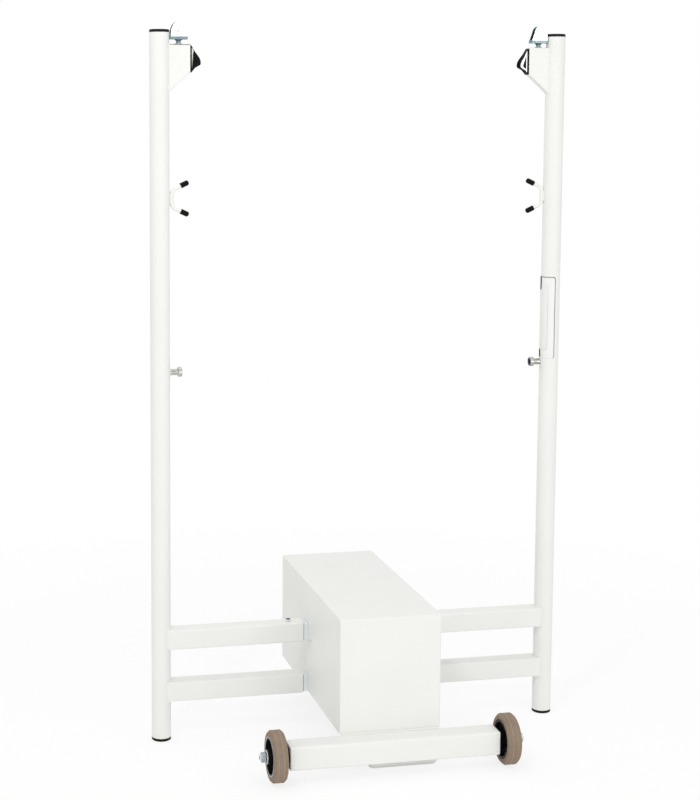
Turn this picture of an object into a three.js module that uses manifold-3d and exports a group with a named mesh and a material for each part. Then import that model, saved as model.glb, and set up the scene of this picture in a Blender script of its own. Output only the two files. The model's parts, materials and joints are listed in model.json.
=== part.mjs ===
// A mobile double badminton post: two posts on rails that slide over the stubs of a ballast box,
// with two wheels on an axle tube across the front of the box.
// Millimetres, +Z up. X runs from post to post, -Y is the side with the wheels.

import * as THREE from 'three';
import { mergeVertices } from 'three/addons/utils/BufferGeometryUtils.js';
import Module from 'manifold-3d';

const wasm = await Module();
wasm.setup();

// General clearances
const seat = 0.3;            // gap left between pieces that touch or are welded
const overrun = 2;           // how far a cutting solid runs past what it cuts

// Posts
const post = {
  height: 1550,              // floor to the top of the cap, the net's height at the posts
  spacing: 890,              // between the posts' axes
  radius: 21.2,
  wall: 2,
};

// Plastic cap on top of a post
const cap = { lip: 6, plugDepth: 22, edge: 1.2 };

// Plastic foot under a post
const foot = { lip: 5, plugDepth: 26, edge: 1 };

// Head bracket, a folded box welded to the post's inner side
const bracket = {
  topDrop: 31,               // from the post's top down to its top face
  reach: 43.8,               // from the post's side to the end face
  endHeight: 59,             // height of the end face
  rootHeight: 98,            // height along the post
  thickness: 20,
  wall: 2.5,
};

// Cord guide on the bracket
const guide = {
  baseLength: 37.5,
  baseThickness: 6.5,
  baseHeight: 10,            // from the bracket's top to the base
  width: 18,
  cheekThickness: 2,
  cheekHeight: 30,
  postGap: 1.2,              // from the post's side to the base
  cheekInset: 1,             // fin's foot from the end of the base on the post's side
};
// A cheek's outline as shares of its length from the post's side, and of its height
const finPostShares = { shoulder: 0.3, pullAlong: 0.1, pullUp: 0.92, crownStart: 0.36 };
const finOuterShares = { crownEnd: 0.55, pullAlong: 0.76, kneeAlong: 0.86, kneeUp: 0.45 };
const stud = {
  radius: 4,
  coneRadius: 8.2,
  waistRadius: 5,
  weldRadius: 8.8,
  weldHeight: 1.6,
  coneHeight: 3.2,
  insideDepth: 7,            // how far it hangs under the bracket's top wall
};
const sheave = { radius: 11.5, boreGap: 0.25, sideGap: 0.7, grooveRadius: 3.4, rim: 1.4, height: 12.6 };
const guidePin = { radius: 3, headRadius: 4.6, headThickness: 1.5, headBevel: 0.75 };

// Jam cleat on the bracket's end face
const cleat = {
  length: 57,
  width: 18,
  baseThickness: 3,
  height: 23,
  cheek: 2.4,                // thickness of a cheek at its crest
  grooveFloor: 1.6,          // width of the groove's floor
  drop: 2.2,                 // bracket's top to the cleat's upper end
  toothPitch: 5.2,
  toothWidth: 2.3,
  toothDepth: 0.75,
  toothAngle: 32,            // degrees, teeth slope down towards the groove's floor
};
// Share of a tooth's climb that the row of teeth leaves free at the upper end
const toothRunShare = 0.8;
// Side outline of the cleat: share of the length up from the lower end, share of the height
const cleatOutlineShares = [
  [0.0, 0.0], [0.0, 0.13], [0.03, 0.19], [0.17, 0.47], [0.29, 0.96], [0.37, 1.0],
  [0.52, 0.92], [0.79, 0.42], [0.96, 0.19], [1.0, 0.13], [1.0, 0.0],
];
const cleatScrew = {
  radius: 2,
  headRadius: 3.7,
  headThickness: 2.4,
  headSide: 1.2,             // height of the head's straight side
  crownRadius: 1.85,
  sink: 1.2,                 // how deep the head sits in the cleat's base
  tipRadius: 1,
  length: 12,
  inset: 6,                  // from a cleat's end to the screw's axis
};

// Cord horn, a bent rod welded upright to the post
const horn = {
  drop: 357.5,               // from the post's top down to its middle
  rodRadius: 4.4,
  stem: 36,                  // straight stretch along the post
  rise: 15.4,                // how far a tip stands above or below its end of the stem
  reach: 33,                 // from the stem's axis to a rod end
  bend: 9,
};
const hornCap = { length: 19, wall: 1.1, endRound: 2.4, overlap: 15 };

// Tie pin for the lower cord
const tiePin = {
  drop: 732,                 // from the post's top down to its axis, near the net's lower edge
  shaftRadius: 6.8,
  shaftLength: 16.4,
  flangeRadius: 10.8,
  flangeThickness: 9.4,
  boreRadius: 4.6,
  boreDepth: 21,
  edge: 1.4,
};

// Rails that join a post to the base
const rail = {
  height: 43,
  depth: 40,
  wall: 2,
  corner: 3,
  upperTop: 249,
  lowerTop: 132,
};

// Stubs of the base that the rails slide over
const stub = {
  wall: 3,
  corner: 2,
  clearance: 0.35,
  insertion: 120,            // length inside a rail
  inside: 25,                // length inside the ballast box
  exposed: 17.8,             // between the box's side and the rail's end
  collar: 5,                 // thickness of the welded collar on the box's side
};

// Screw that locks a frame on its upper stub
const lockScrew = {
  radius: 4,
  headRadius: 5.2,
  headHeight: 5.5,
  fromRailEnd: 31,
  socketRadius: 2.6,
  socketDepth: 3,
};

// Ballast box
const box = {
  width: 220,
  length: 525,
  height: 245,
  bottom: 83,
  wall: 3,
  corner: 3,
  innerCorner: 1.5,
  plate: 4,                  // thickness of the plate that closes its bottom
};
const ballast = { sideMargin: 30, endMargin: 9, topMargin: 22.7, chamfer: 8 };

// Tray under the box that it stands on
const skid = { left: -44, right: 107, wall: 3, corner: 10, backInset: 4 };

// Axle tube and wheels
const axle = { size: 50, wall: 3, corner: 4, length: 446, height: 56, endPlate: 3 };
const spindle = { radius: 6, endReach: 63.5, shoulderRadius: 9.5, shoulderLength: 2.2, tipChamfer: 1.2 };
const wheel = {
  radius: 53.5,
  tyreWidth: 30,
  tubeGap: 13,               // from the axle tube's end to the tyre
  shoulder: 5,
  shoulderDrop: 3.4,
  sideDrop: 2.5,
  sideBevel: 1.25,
  seatRadius: 41,            // where tyre and hub meet
};
const hub = {
  rimThickness: 5.5,
  draft: 1.8,
  webThickness: 6,
  bossRadius: 14.5,
  bossInner: 2.8,            // from the axle tube's end to the boss
  bossOuter: 3.4,            // how far the boss stands past the tyre's outer side
  boreWall: 2,
};
const bush = { flangeRadius: 10.5, flangeThickness: 1.2, runningGap: 0.25 };
const washer = { radius: 15, thickness: 2.5 };
const nut = { acrossFlats: 19, thickness: 10, chamfer: 1.2 };

// Facet counts
const roundFine = 32;
const roundMedium = 20;
const roundSmall = 12;
const rodSides = 8;
const rodSteps = 20;
const cornerSteps = 2;
const curveSteps = 5;
const grooveSteps = 4;
const nutSides = 6;

// Least inner corner radius of a tube, as a share of its wall
const innerCornerShare = 0.25;

// Derived places
const bracketTop = post.height - bracket.topDrop;
const hornCentre = post.height - horn.drop;
const tiePinCentre = post.height - tiePin.drop;
const postSideToBox = post.spacing / 2 - box.width / 2;
const railEnd = postSideToBox - stub.exposed;
const boxFront = -box.length / 2;
const axleY = boxFront - axle.size / 2;
const tubeEnd = axle.length / 2;
const tyreInner = wheel.tubeGap;
const tyreOuter = wheel.tubeGap + wheel.tyreWidth;
const bossOuterFace = tyreOuter + hub.bossOuter;
const hubBore = spindle.radius + bush.runningGap + hub.boreWall;

// Finishes
const paint = { color: 0xeeeeea, roughness: 0.42, metalness: 0 };
const zinc = { color: 0xb9c4c6, roughness: 0.34, metalness: 1 };
const steel = { color: 0x8d8f90, roughness: 0.4, metalness: 1 };
const blackNylon = { color: 0x101012, roughness: 0.25, metalness: 0 };
const blackPlastic = { color: 0x171719, roughness: 0.5, metalness: 0 };
const wheelRubber = { color: 0x93816f, roughness: 0.8, metalness: 0 };
const concrete = { color: 0x8b8984, roughness: 0.95, metalness: 0 };

// A closed solid from a geometry, with its shared corners merged and its faces turned outwards
function solidFrom(geometry) {
  const bare = geometry.clone();
  for (const attribute of Object.keys(bare.attributes)) {
    if (attribute !== 'position') bare.deleteAttribute(attribute);
  }
  const merged = mergeVertices(bare);
  const corners = merged.attributes.position;
  const index = merged.index.array;
  const kept = [];
  for (let i = 0; i < index.length; i += 3) {
    const [a, b, c] = [index[i], index[i + 1], index[i + 2]];
    if (a !== b && b !== c && c !== a) kept.push(a, b, c);
  }
  if (signedVolume(corners, kept) < 0) {
    for (let i = 0; i < kept.length; i += 3) [kept[i], kept[i + 1]] = [kept[i + 1], kept[i]];
  }
  const mesh = new wasm.Mesh({
    numProp: 3,
    vertProperties: Float32Array.from(corners.array),
    triVerts: Uint32Array.from(kept),
  });
  return new wasm.Manifold(mesh);
}

function signedVolume(corners, index) {
  const [a, b, c] = [new THREE.Vector3(), new THREE.Vector3(), new THREE.Vector3()];
  let total = 0;
  for (let i = 0; i < index.length; i += 3) {
    a.fromBufferAttribute(corners, index[i]);
    b.fromBufferAttribute(corners, index[i + 1]);
    c.fromBufferAttribute(corners, index[i + 2]);
    total += a.dot(b.cross(c)) / 6;
  }
  return total;
}

function geometryFrom(solid) {
  const mesh = solid.getMesh();
  const geometry = new THREE.BufferGeometry();
  geometry.setAttribute('position', new THREE.BufferAttribute(Float32Array.from(mesh.vertProperties), 3));
  geometry.setIndex(new THREE.BufferAttribute(Uint32Array.from(mesh.triVerts), 1));
  geometry.computeVertexNormals();
  return geometry;
}

function piece(name, solid, finish) {
  const mesh = new THREE.Mesh(geometryFrom(solid), new THREE.MeshStandardMaterial(finish));
  mesh.name = name;
  return mesh;
}

// A profile of [radius, height] corners revolved about Z
function revolved(profile, segments) {
  const points = profile.map(([radius, height]) => new THREE.Vector2(radius, height));
  const geometry = new THREE.LatheGeometry(points, segments);
  geometry.rotateX(Math.PI / 2);
  return solidFrom(geometry);
}

// A profile of [radius, along] corners revolved about X
function revolvedAlongX(profile, segments) {
  const points = profile.map(([radius, along]) => new THREE.Vector2(radius, along));
  const geometry = new THREE.LatheGeometry(points, segments);
  geometry.rotateZ(-Math.PI / 2);
  return solidFrom(geometry);
}

// A profile of [radius, along] corners revolved about Y
function revolvedAlongY(profile, segments) {
  const points = profile.map(([radius, along]) => new THREE.Vector2(radius, along));
  return solidFrom(new THREE.LatheGeometry(points, segments));
}

function roundBar(radius, bottom, top, segments) {
  return revolved([[0, bottom], [radius, bottom], [radius, top], [0, top]], segments);
}

function barRoundX(radius, from, to) {
  return revolvedAlongX([[0, from], [radius, from], [radius, to], [0, to]], roundSmall);
}

function ringProfile(outer, inner, bottom, top) {
  return [[inner, bottom], [outer, bottom], [outer, top], [inner, top], [inner, bottom]];
}

function block(lowX, highX, lowY, highY, lowZ, highZ) {
  const geometry = new THREE.BoxGeometry(highX - lowX, highY - lowY, highZ - lowZ);
  geometry.translate((lowX + highX) / 2, (lowY + highY) / 2, (lowZ + highZ) / 2);
  return solidFrom(geometry);
}

// A rectangle with round corners, centred on the origin
function roundRectangle(width, height, radius) {
  const [x, y] = [width / 2, height / 2];
  const shape = new THREE.Shape();
  shape.moveTo(-x + radius, -y);
  shape.lineTo(x - radius, -y);
  shape.absarc(x - radius, -y + radius, radius, -Math.PI / 2, 0, false);
  shape.lineTo(x, y - radius);
  shape.absarc(x - radius, y - radius, radius, 0, Math.PI / 2, false);
  shape.lineTo(-x + radius, y);
  shape.absarc(-x + radius, y - radius, radius, Math.PI / 2, Math.PI, false);
  shape.lineTo(-x, -y + radius);
  shape.absarc(-x + radius, -y + radius, radius, Math.PI, Math.PI * 1.5, false);
  return shape;
}

function extruded(shape, length) {
  const options = { depth: length, bevelEnabled: false, curveSegments: cornerSteps };
  return new THREE.ExtrudeGeometry(shape, options);
}

// An outline drawn in X and Z, given a thickness in Y about Y = 0
function uprightPlate(shape, thickness) {
  const outline = new THREE.Shape(shape.getPoints(curveSteps));
  const geometry = extruded(outline, thickness);
  geometry.rotateX(Math.PI / 2);
  geometry.translate(0, thickness / 2, 0);
  return solidFrom(geometry);
}

// A bar of round-cornered section along X. The section's width lies along Y and its height along Z.
function barAlongX(width, height, radius, from, to) {
  const geometry = extruded(roundRectangle(width, height, radius), to - from);
  geometry.rotateX(Math.PI / 2);
  geometry.rotateZ(Math.PI / 2);
  geometry.translate(from, 0, 0);
  return solidFrom(geometry);
}

function tubeAlongX(width, height, wall, radius, from, to) {
  const inner = Math.max(radius - wall, wall * innerCornerShare);
  const core = barAlongX(width - 2 * wall, height - 2 * wall, inner, from - overrun, to + overrun);
  return barAlongX(width, height, radius, from, to).subtract(core);
}

// A bar upright along Z
function barAlongZ(width, depth, radius, bottom, top) {
  const geometry = extruded(roundRectangle(width, depth, radius), top - bottom);
  geometry.translate(0, 0, bottom);
  return solidFrom(geometry);
}

// The space that a post takes, with the weld gap round it
function postSpace() {
  return roundBar(post.radius + seat, -overrun, post.height + overrun, roundFine);
}

function postTube() {
  const bottom = foot.lip + seat;
  const top = post.height - cap.lip - seat;
  return revolved(ringProfile(post.radius, post.radius - post.wall, bottom, top), roundFine);
}

function plugRadius() {
  return post.radius - post.wall - seat;
}

function topCap() {
  const top = post.height;
  const seatHeight = top - cap.lip;
  const plug = plugRadius();
  const plugBottom = seatHeight - cap.plugDepth;
  return revolved([
    [0, plugBottom],
    [plug, plugBottom],
    [plug, seatHeight],
    [post.radius, seatHeight],
    [post.radius, top - cap.edge],
    [post.radius - cap.edge, top],
    [0, top],
  ], roundFine);
}

function postFoot() {
  const plug = plugRadius();
  const plugTop = foot.lip + foot.plugDepth;
  return revolved([
    [0, 0],
    [post.radius - foot.edge, 0],
    [post.radius, foot.edge],
    [post.radius, foot.lip],
    [plug, foot.lip],
    [plug, plugTop],
    [0, plugTop],
  ], roundFine);
}

// Side outline of the bracket, from the post's axis outwards, drawn in by the given margin
function bracketOutline(margin) {
  const slope = (bracket.rootHeight - bracket.endHeight) / bracket.reach;
  const end = post.radius + bracket.reach - margin;
  const top = bracketTop - margin;
  const slant = margin * Math.hypot(1, slope);
  const lowAt = (x) => bracketTop - bracket.rootHeight + (x - post.radius) * slope + slant;
  const start = margin > 0 ? -overrun : 0;
  const shape = new THREE.Shape();
  shape.moveTo(start, lowAt(start));
  shape.lineTo(end, lowAt(end));
  shape.lineTo(end, top);
  shape.lineTo(start, top);
  shape.closePath();
  return shape;
}

function headBracket() {
  const shell = uprightPlate(bracketOutline(0), bracket.thickness);
  const hollow = uprightPlate(bracketOutline(bracket.wall), bracket.thickness - 2 * bracket.wall);
  const holeBottom = bracketTop - bracket.wall - overrun;
  const studHole = roundBar(stud.radius + seat, holeBottom, bracketTop + overrun, roundSmall);
  let body = shell.subtract(hollow).subtract(postSpace());
  body = body.subtract(studHole.translate([guideCentre(), 0, 0]));
  for (const height of cleatScrewHeights()) {
    body = body.subtract(screwHole(cleatScrew.radius + seat, height));
  }
  return body;
}

function bracketEnd() {
  return post.radius + bracket.reach;
}

function screwHole(radius, height) {
  const from = bracketEnd() - bracket.wall - overrun;
  const to = bracketEnd() + cleat.height + overrun;
  return barRoundX(radius, from, to).translate([0, 0, height]);
}

function guideCentre() {
  return post.radius + guide.postGap + guide.baseLength / 2;
}

function guideBottom() {
  return bracketTop + guide.baseHeight;
}

function sheaveHeight() {
  return guideBottom() + guide.baseThickness + sheave.height;
}

// One fin-shaped cheek: steep and curved on the post's side, sloping on the outer side
function finOutline() {
  const start = post.radius + guide.postGap + guide.cheekInset;
  const length = guide.baseLength - 2 * guide.cheekInset;
  const root = guideBottom() + guide.baseThickness / 2;
  const bottom = guideBottom() + guide.baseThickness;
  const at = (along, up) => [start + along * length, bottom + up * guide.cheekHeight];
  const postPull = at(finPostShares.pullAlong, finPostShares.pullUp);
  const outerPull = at(finOuterShares.pullAlong, 1);
  const shape = new THREE.Shape();
  shape.moveTo(start, root);
  shape.lineTo(start + length, root);
  shape.lineTo(start + length, bottom);
  shape.lineTo(...at(finOuterShares.kneeAlong, finOuterShares.kneeUp));
  shape.quadraticCurveTo(...outerPull, ...at(finOuterShares.crownEnd, 1));
  shape.lineTo(...at(finPostShares.crownStart, 1));
  shape.quadraticCurveTo(...postPull, ...at(0, finPostShares.shoulder));
  shape.closePath();
  return shape;
}

function guideYoke() {
  const bottom = guideBottom();
  const baseTop = bottom + guide.baseThickness;
  const base = barAlongZ(guide.baseLength, guide.width, guide.cheekThickness, bottom, baseTop)
    .translate([guideCentre(), 0, 0]);
  const offset = (guide.width - guide.cheekThickness) / 2;
  const cheek = uprightPlate(finOutline(), guide.cheekThickness);
  const pinReach = guide.width / 2 + overrun;
  const pinRadius = guidePin.radius + seat;
  const pinProfile = [[0, -pinReach], [pinRadius, -pinReach], [pinRadius, pinReach], [0, pinReach]];
  const pinHole = revolvedAlongY(pinProfile, roundSmall).translate([guideCentre(), 0, sheaveHeight()]);
  const studHoleTop = baseTop - guide.cheekThickness;
  const studHole = roundBar(stud.radius + seat, bottom - overrun, studHoleTop, roundSmall);
  return base
    .add(cheek.translate([0, -offset, 0]))
    .add(cheek.translate([0, offset, 0]))
    .subtract(pinHole)
    .subtract(studHole.translate([guideCentre(), 0, 0]));
}

// Waisted stud between the bracket and the yoke
function guideStud() {
  const low = bracketTop + seat;
  const high = guideBottom() - seat;
  const tip = guideBottom() + guide.baseThickness - guide.cheekThickness - seat;
  const bottom = bracketTop - stud.insideDepth;
  return revolved([
    [0, bottom],
    [stud.radius, bottom],
    [stud.radius, low],
    [stud.weldRadius, low],
    [stud.waistRadius, low + stud.weldHeight],
    [stud.waistRadius, high - stud.coneHeight],
    [stud.coneRadius, high],
    [stud.radius, high],
    [stud.radius, tip],
    [0, tip],
  ], roundSmall).translate([guideCentre(), 0, 0]);
}

function sheaveHalfWidth() {
  return guide.width / 2 - guide.cheekThickness - sheave.sideGap;
}

// Sheave with a round groove for the net's head cord, its axis along Y
function guideSheave() {
  const half = sheaveHalfWidth();
  const bore = guidePin.radius + sheave.boreGap;
  const grooveHalf = half - sheave.rim;
  const profile = [[bore, -half], [sheave.radius, -half], [sheave.radius, -grooveHalf]];
  for (let step = 1; step < grooveSteps; step += 1) {
    const turn = Math.PI * step / grooveSteps;
    profile.push([sheave.radius - sheave.grooveRadius * Math.sin(turn), -grooveHalf * Math.cos(turn)]);
  }
  profile.push([sheave.radius, grooveHalf], [sheave.radius, half], [bore, half], [bore, -half]);
  return revolvedAlongY(profile, roundMedium);
}

// Rivet that the sheave turns on
function guidePinSolid() {
  const side = guide.width / 2 + seat;
  const end = side + guidePin.headThickness;
  return revolvedAlongY([
    [0, -end],
    [guidePin.headRadius - guidePin.headBevel, -end],
    [guidePin.headRadius, -side],
    [guidePin.radius, -side],
    [guidePin.radius, side],
    [guidePin.headRadius, side],
    [guidePin.headRadius - guidePin.headBevel, end],
    [0, end],
  ], roundSmall).translate([guideCentre(), 0, sheaveHeight()]);
}

function cleatBottom() {
  return bracketTop - cleat.drop - cleat.length;
}

function cleatScrewHeights() {
  return [cleatBottom() + cleatScrew.inset, cleatBottom() + cleat.length - cleatScrew.inset];
}

function cleatFace() {
  return bracketEnd() + seat;
}

// The cleat's cutting V, open outwards: its half width at a distance from the cleat's back
function grooveHalfWidth(distance, extra) {
  const mouth = cleat.width / 2 - cleat.cheek;
  const floor = cleat.grooveFloor / 2;
  const share = (distance - cleat.baseThickness) / (cleat.height - cleat.baseThickness);
  return floor + (mouth - floor) * share + extra;
}

function grooveWedge(extra) {
  const low = cleat.baseThickness - extra;
  const high = cleat.height + overrun;
  const shape = new THREE.Shape();
  shape.moveTo(low, -grooveHalfWidth(low, extra));
  shape.lineTo(high, -grooveHalfWidth(high, extra));
  shape.lineTo(high, grooveHalfWidth(high, extra));
  shape.lineTo(low, grooveHalfWidth(low, extra));
  shape.closePath();
  const geometry = extruded(shape, cleat.length + 2 * overrun);
  geometry.translate(0, 0, -overrun);
  return solidFrom(geometry);
}

// Slanted slabs that cut the teeth into the groove's two walls
function toothSlabs() {
  const tilt = cleat.toothAngle;
  const reach = cleat.height / Math.cos(THREE.MathUtils.degToRad(tilt)) + overrun;
  const climb = cleat.height * Math.tan(THREE.MathUtils.degToRad(tilt));
  const count = Math.floor((cleat.length - climb * toothRunShare) / cleat.toothPitch);
  let slabs = null;
  for (let index = 1; index < count; index += 1) {
    const slab = block(0, reach, -cleat.width, cleat.width, 0, cleat.toothWidth)
      .rotate([0, -tilt, 0])
      .translate([0, 0, index * cleat.toothPitch]);
    slabs = slabs === null ? slab : slabs.add(slab);
  }
  return slabs;
}

function jamCleat() {
  const outline = new THREE.Shape();
  cleatOutlineShares.forEach(([along, out], index) => {
    const place = [out * cleat.height, along * cleat.length];
    if (index === 0) outline.moveTo(...place);
    else outline.lineTo(...place);
  });
  outline.closePath();
  let body = uprightPlate(outline, cleat.width);
  const teeth = grooveWedge(cleat.toothDepth).intersect(toothSlabs());
  body = body.subtract(grooveWedge(0)).subtract(teeth);
  for (const height of cleatScrewHeights()) {
    const level = height - cleatBottom();
    const floor = cleat.baseThickness - cleatScrew.sink;
    const shank = cleatScrew.radius + seat;
    const well = cleatScrew.headRadius + seat;
    const top = cleat.height + overrun;
    body = body.subtract(revolvedAlongX([
      [0, -overrun], [shank, -overrun], [shank, floor], [well, floor], [well, top], [0, top],
    ], roundSmall).translate([0, 0, level]));
  }
  return body.translate([cleatFace(), 0, cleatBottom()]);
}

function cleatScrewSolid(height) {
  const seatFace = cleatFace() + cleat.baseThickness - cleatScrew.sink + seat;
  const tip = seatFace - cleatScrew.length;
  const crown = seatFace + cleatScrew.headThickness;
  return revolvedAlongX([
    [0, tip],
    [cleatScrew.tipRadius, tip],
    [cleatScrew.radius, tip + cleatScrew.radius],
    [cleatScrew.radius, seatFace],
    [cleatScrew.headRadius, seatFace],
    [cleatScrew.headRadius, seatFace + cleatScrew.headSide],
    [cleatScrew.crownRadius, crown],
    [0, crown],
  ], roundSmall).translate([0, 0, height]);
}

function hornAxis() {
  return post.radius + seat + horn.rodRadius;
}

// Where a horn leaves its bend and where its rod ends, above or below the middle
function hornPoints(side) {
  const stemEnd = new THREE.Vector3(hornAxis(), 0, side * horn.stem / 2);
  const rodEnd = new THREE.Vector3(hornAxis() + horn.reach, 0, side * (horn.stem / 2 + horn.rise));
  const along = rodEnd.clone().sub(stemEnd).normalize();
  return {
    stemEnd,
    rodEnd,
    along,
    bendStart: new THREE.Vector3(hornAxis(), 0, side * (horn.stem / 2 - horn.bend)),
    bendEnd: stemEnd.clone().addScaledVector(along, horn.bend),
  };
}

function cordHorn() {
  const upper = hornPoints(1);
  const lower = hornPoints(-1);
  const path = new THREE.CurvePath();
  path.add(new THREE.LineCurve3(lower.rodEnd, lower.bendEnd));
  path.add(new THREE.QuadraticBezierCurve3(lower.bendEnd, lower.stemEnd, lower.bendStart));
  path.add(new THREE.LineCurve3(lower.bendStart, upper.bendStart));
  path.add(new THREE.QuadraticBezierCurve3(upper.bendStart, upper.stemEnd, upper.bendEnd));
  path.add(new THREE.LineCurve3(upper.bendEnd, upper.rodEnd));
  const section = new THREE.Shape();
  section.absarc(0, 0, horn.rodRadius, 0, Math.PI * 2, false);
  const geometry = new THREE.ExtrudeGeometry(section, {
    steps: rodSteps,
    curveSegments: rodSides / 2,
    bevelEnabled: false,
    extrudePath: path,
  });
  return solidFrom(geometry).translate([0, 0, hornCentre]);
}

// Slip-on cap of a horn, made along +X with its mouth at the origin
function hornCapSolid() {
  const bore = horn.rodRadius + seat;
  const outer = bore + hornCap.wall;
  return revolvedAlongX([
    [bore, 0],
    [outer, 0],
    [outer, hornCap.length - hornCap.endRound],
    [outer - hornCap.endRound, hornCap.length],
    [0, hornCap.length],
    [0, hornCap.overlap + seat],
    [bore, hornCap.overlap + seat],
    [bore, 0],
  ], roundSmall);
}

function tiePinSolid() {
  const start = post.radius - overrun;
  const flange = post.radius + tiePin.shaftLength;
  const end = flange + tiePin.flangeThickness;
  const bottom = end - tiePin.boreDepth;
  return revolvedAlongX([
    [0, start],
    [tiePin.shaftRadius, start],
    [tiePin.shaftRadius, flange],
    [tiePin.flangeRadius - tiePin.edge, flange],
    [tiePin.flangeRadius, flange + tiePin.edge],
    [tiePin.flangeRadius, end - tiePin.edge],
    [tiePin.flangeRadius - tiePin.edge, end],
    [tiePin.boreRadius, end],
    [tiePin.boreRadius, bottom],
    [0, bottom],
  ], roundMedium).translate([0, 0, tiePinCentre]).subtract(postSpace());
}

function railSolid(top, holed) {
  let body = tubeAlongX(rail.depth, rail.height, rail.wall, rail.corner, 0, railEnd)
    .translate([0, 0, top - rail.height / 2])
    .subtract(postSpace());
  if (holed) {
    const hole = roundBar(lockScrew.radius + seat, top - rail.wall - overrun, top + overrun, roundSmall);
    body = body.subtract(hole.translate([lockScrewPlace(), 0, 0]));
  }
  return body;
}

function lockScrewPlace() {
  return railEnd - lockScrew.fromRailEnd;
}

// Socket screw through the upper rail that presses on the stub
function lockScrewSolid() {
  const headSeat = rail.upperTop + seat;
  const top = headSeat + lockScrew.headHeight;
  const tip = rail.upperTop - rail.wall - stub.clearance + seat;
  const socketFloor = top - lockScrew.socketDepth;
  return revolved([
    [0, tip],
    [lockScrew.radius, tip],
    [lockScrew.radius, headSeat],
    [lockScrew.headRadius, headSeat],
    [lockScrew.headRadius, top],
    [lockScrew.socketRadius, top],
    [lockScrew.socketRadius, socketFloor],
    [0, socketFloor],
  ], roundSmall).translate([lockScrewPlace(), 0, 0]);
}

function stubWidth() {
  return rail.depth - 2 * rail.wall - 2 * stub.clearance;
}

function stubHeight() {
  return rail.height - 2 * rail.wall - 2 * stub.clearance;
}

// Stub of the base, made in the left post's own frame, where +X points at the box
function stubSolid(top) {
  const from = railEnd - stub.insertion;
  const to = postSideToBox + stub.inside;
  return tubeAlongX(stubWidth(), stubHeight(), stub.wall, stub.corner, from, to)
    .translate([0, 0, top - rail.height / 2]);
}

// Ballast box: a shell open below, with a collar round each stub's window
function ballastBox() {
  const top = box.bottom + box.height;
  let shell = barAlongZ(box.width, box.length, box.corner, box.bottom, top);
  for (const side of [-1, 1]) {
    for (const railTop of [rail.upperTop, rail.lowerTop]) {
      shell = shell.add(collar(side, railTop - rail.height / 2));
    }
  }
  const innerWidth = box.width - 2 * box.wall;
  const innerLength = box.length - 2 * box.wall;
  const hollow = barAlongZ(innerWidth, innerLength, box.innerCorner, box.bottom - overrun, top - box.wall);
  shell = shell.subtract(hollow);
  for (const side of [-1, 1]) {
    for (const railTop of [rail.upperTop, rail.lowerTop]) {
      shell = shell.subtract(stubWindow(side, railTop - rail.height / 2));
    }
  }
  return shell;
}

function collar(side, height) {
  const inner = box.width / 2 - box.wall / 2;
  const outer = box.width / 2 + stub.collar;
  const [from, to] = side > 0 ? [inner, outer] : [-outer, -inner];
  return barAlongX(rail.depth, rail.height, rail.corner, from, to).translate([0, 0, height]);
}

function stubWindow(side, height) {
  const inner = box.width / 2 - box.wall - overrun;
  const outer = box.width / 2 + stub.collar + overrun;
  const [from, to] = side > 0 ? [inner, outer] : [-outer, -inner];
  return barAlongX(stubWidth() + 2 * seat, stubHeight() + 2 * seat, stub.corner, from, to)
    .translate([0, 0, height]);
}

function boxPlate() {
  const width = box.width - 2 * box.wall - 2 * seat;
  const length = box.length - 2 * box.wall - 2 * seat;
  return barAlongZ(width, length, box.innerCorner, box.bottom, box.bottom + box.plate);
}

function ballastBlock() {
  const width = box.width - 2 * box.wall - 2 * ballast.sideMargin;
  const length = box.length - 2 * box.wall - 2 * ballast.endMargin;
  const bottom = box.bottom + box.plate + seat;
  const top = box.bottom + box.height - box.wall - ballast.topMargin;
  return barAlongZ(width, length, ballast.chamfer, bottom, top);
}

// Tray with round lower edges that the box stands on
function skidTray() {
  const width = skid.right - skid.left;
  const length = box.length - seat - skid.backInset;
  const top = box.bottom - seat;
  const body = roundedTray(width, length, skid.corner, 0, top);
  const innerWidth = width - 2 * skid.wall;
  const innerLength = length - 2 * skid.wall;
  const hollow = roundedTray(innerWidth, innerLength, skid.corner - skid.wall, skid.wall, top + overrun);
  return body.subtract(hollow).translate([(skid.left + skid.right) / 2, (seat - skid.backInset) / 2, 0]);
}

// A block whose four upright edges and lower edges are round: two crossed profiles
function roundedTray(width, length, radius, bottom, top) {
  const upright = barAlongZ(width, length, radius, bottom, top);
  const alongX = barAlongX(length, top - bottom + 2 * radius, radius, -width, width)
    .translate([0, 0, (bottom + top) / 2 + radius]);
  const geometry = extruded(roundRectangle(width, top - bottom + 2 * radius, radius), 2 * length);
  geometry.rotateX(Math.PI / 2);
  geometry.translate(0, length, (bottom + top) / 2 + radius);
  return upright.intersect(alongX).intersect(solidFrom(geometry));
}

function axleTube() {
  const end = tubeEnd - axle.endPlate - seat;
  return tubeAlongX(axle.size, axle.size, axle.wall, axle.corner, -end, end);
}

// End plate of the axle tube with the wheel's stud, made along +X from the tube's end
function wheelSpindle() {
  const plate = barAlongX(axle.size, axle.size, axle.corner, -axle.endPlate, 0);
  const studEnd = spindle.endReach;
  const bar = revolvedAlongX([
    [0, -axle.endPlate / 2],
    [spindle.shoulderRadius, -axle.endPlate / 2],
    [spindle.shoulderRadius, spindle.shoulderLength],
    [spindle.radius, spindle.shoulderLength],
    [spindle.radius, studEnd - spindle.tipChamfer],
    [spindle.radius - spindle.tipChamfer, studEnd],
    [0, studEnd],
  ], roundMedium);
  return plate.add(bar);
}

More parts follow.
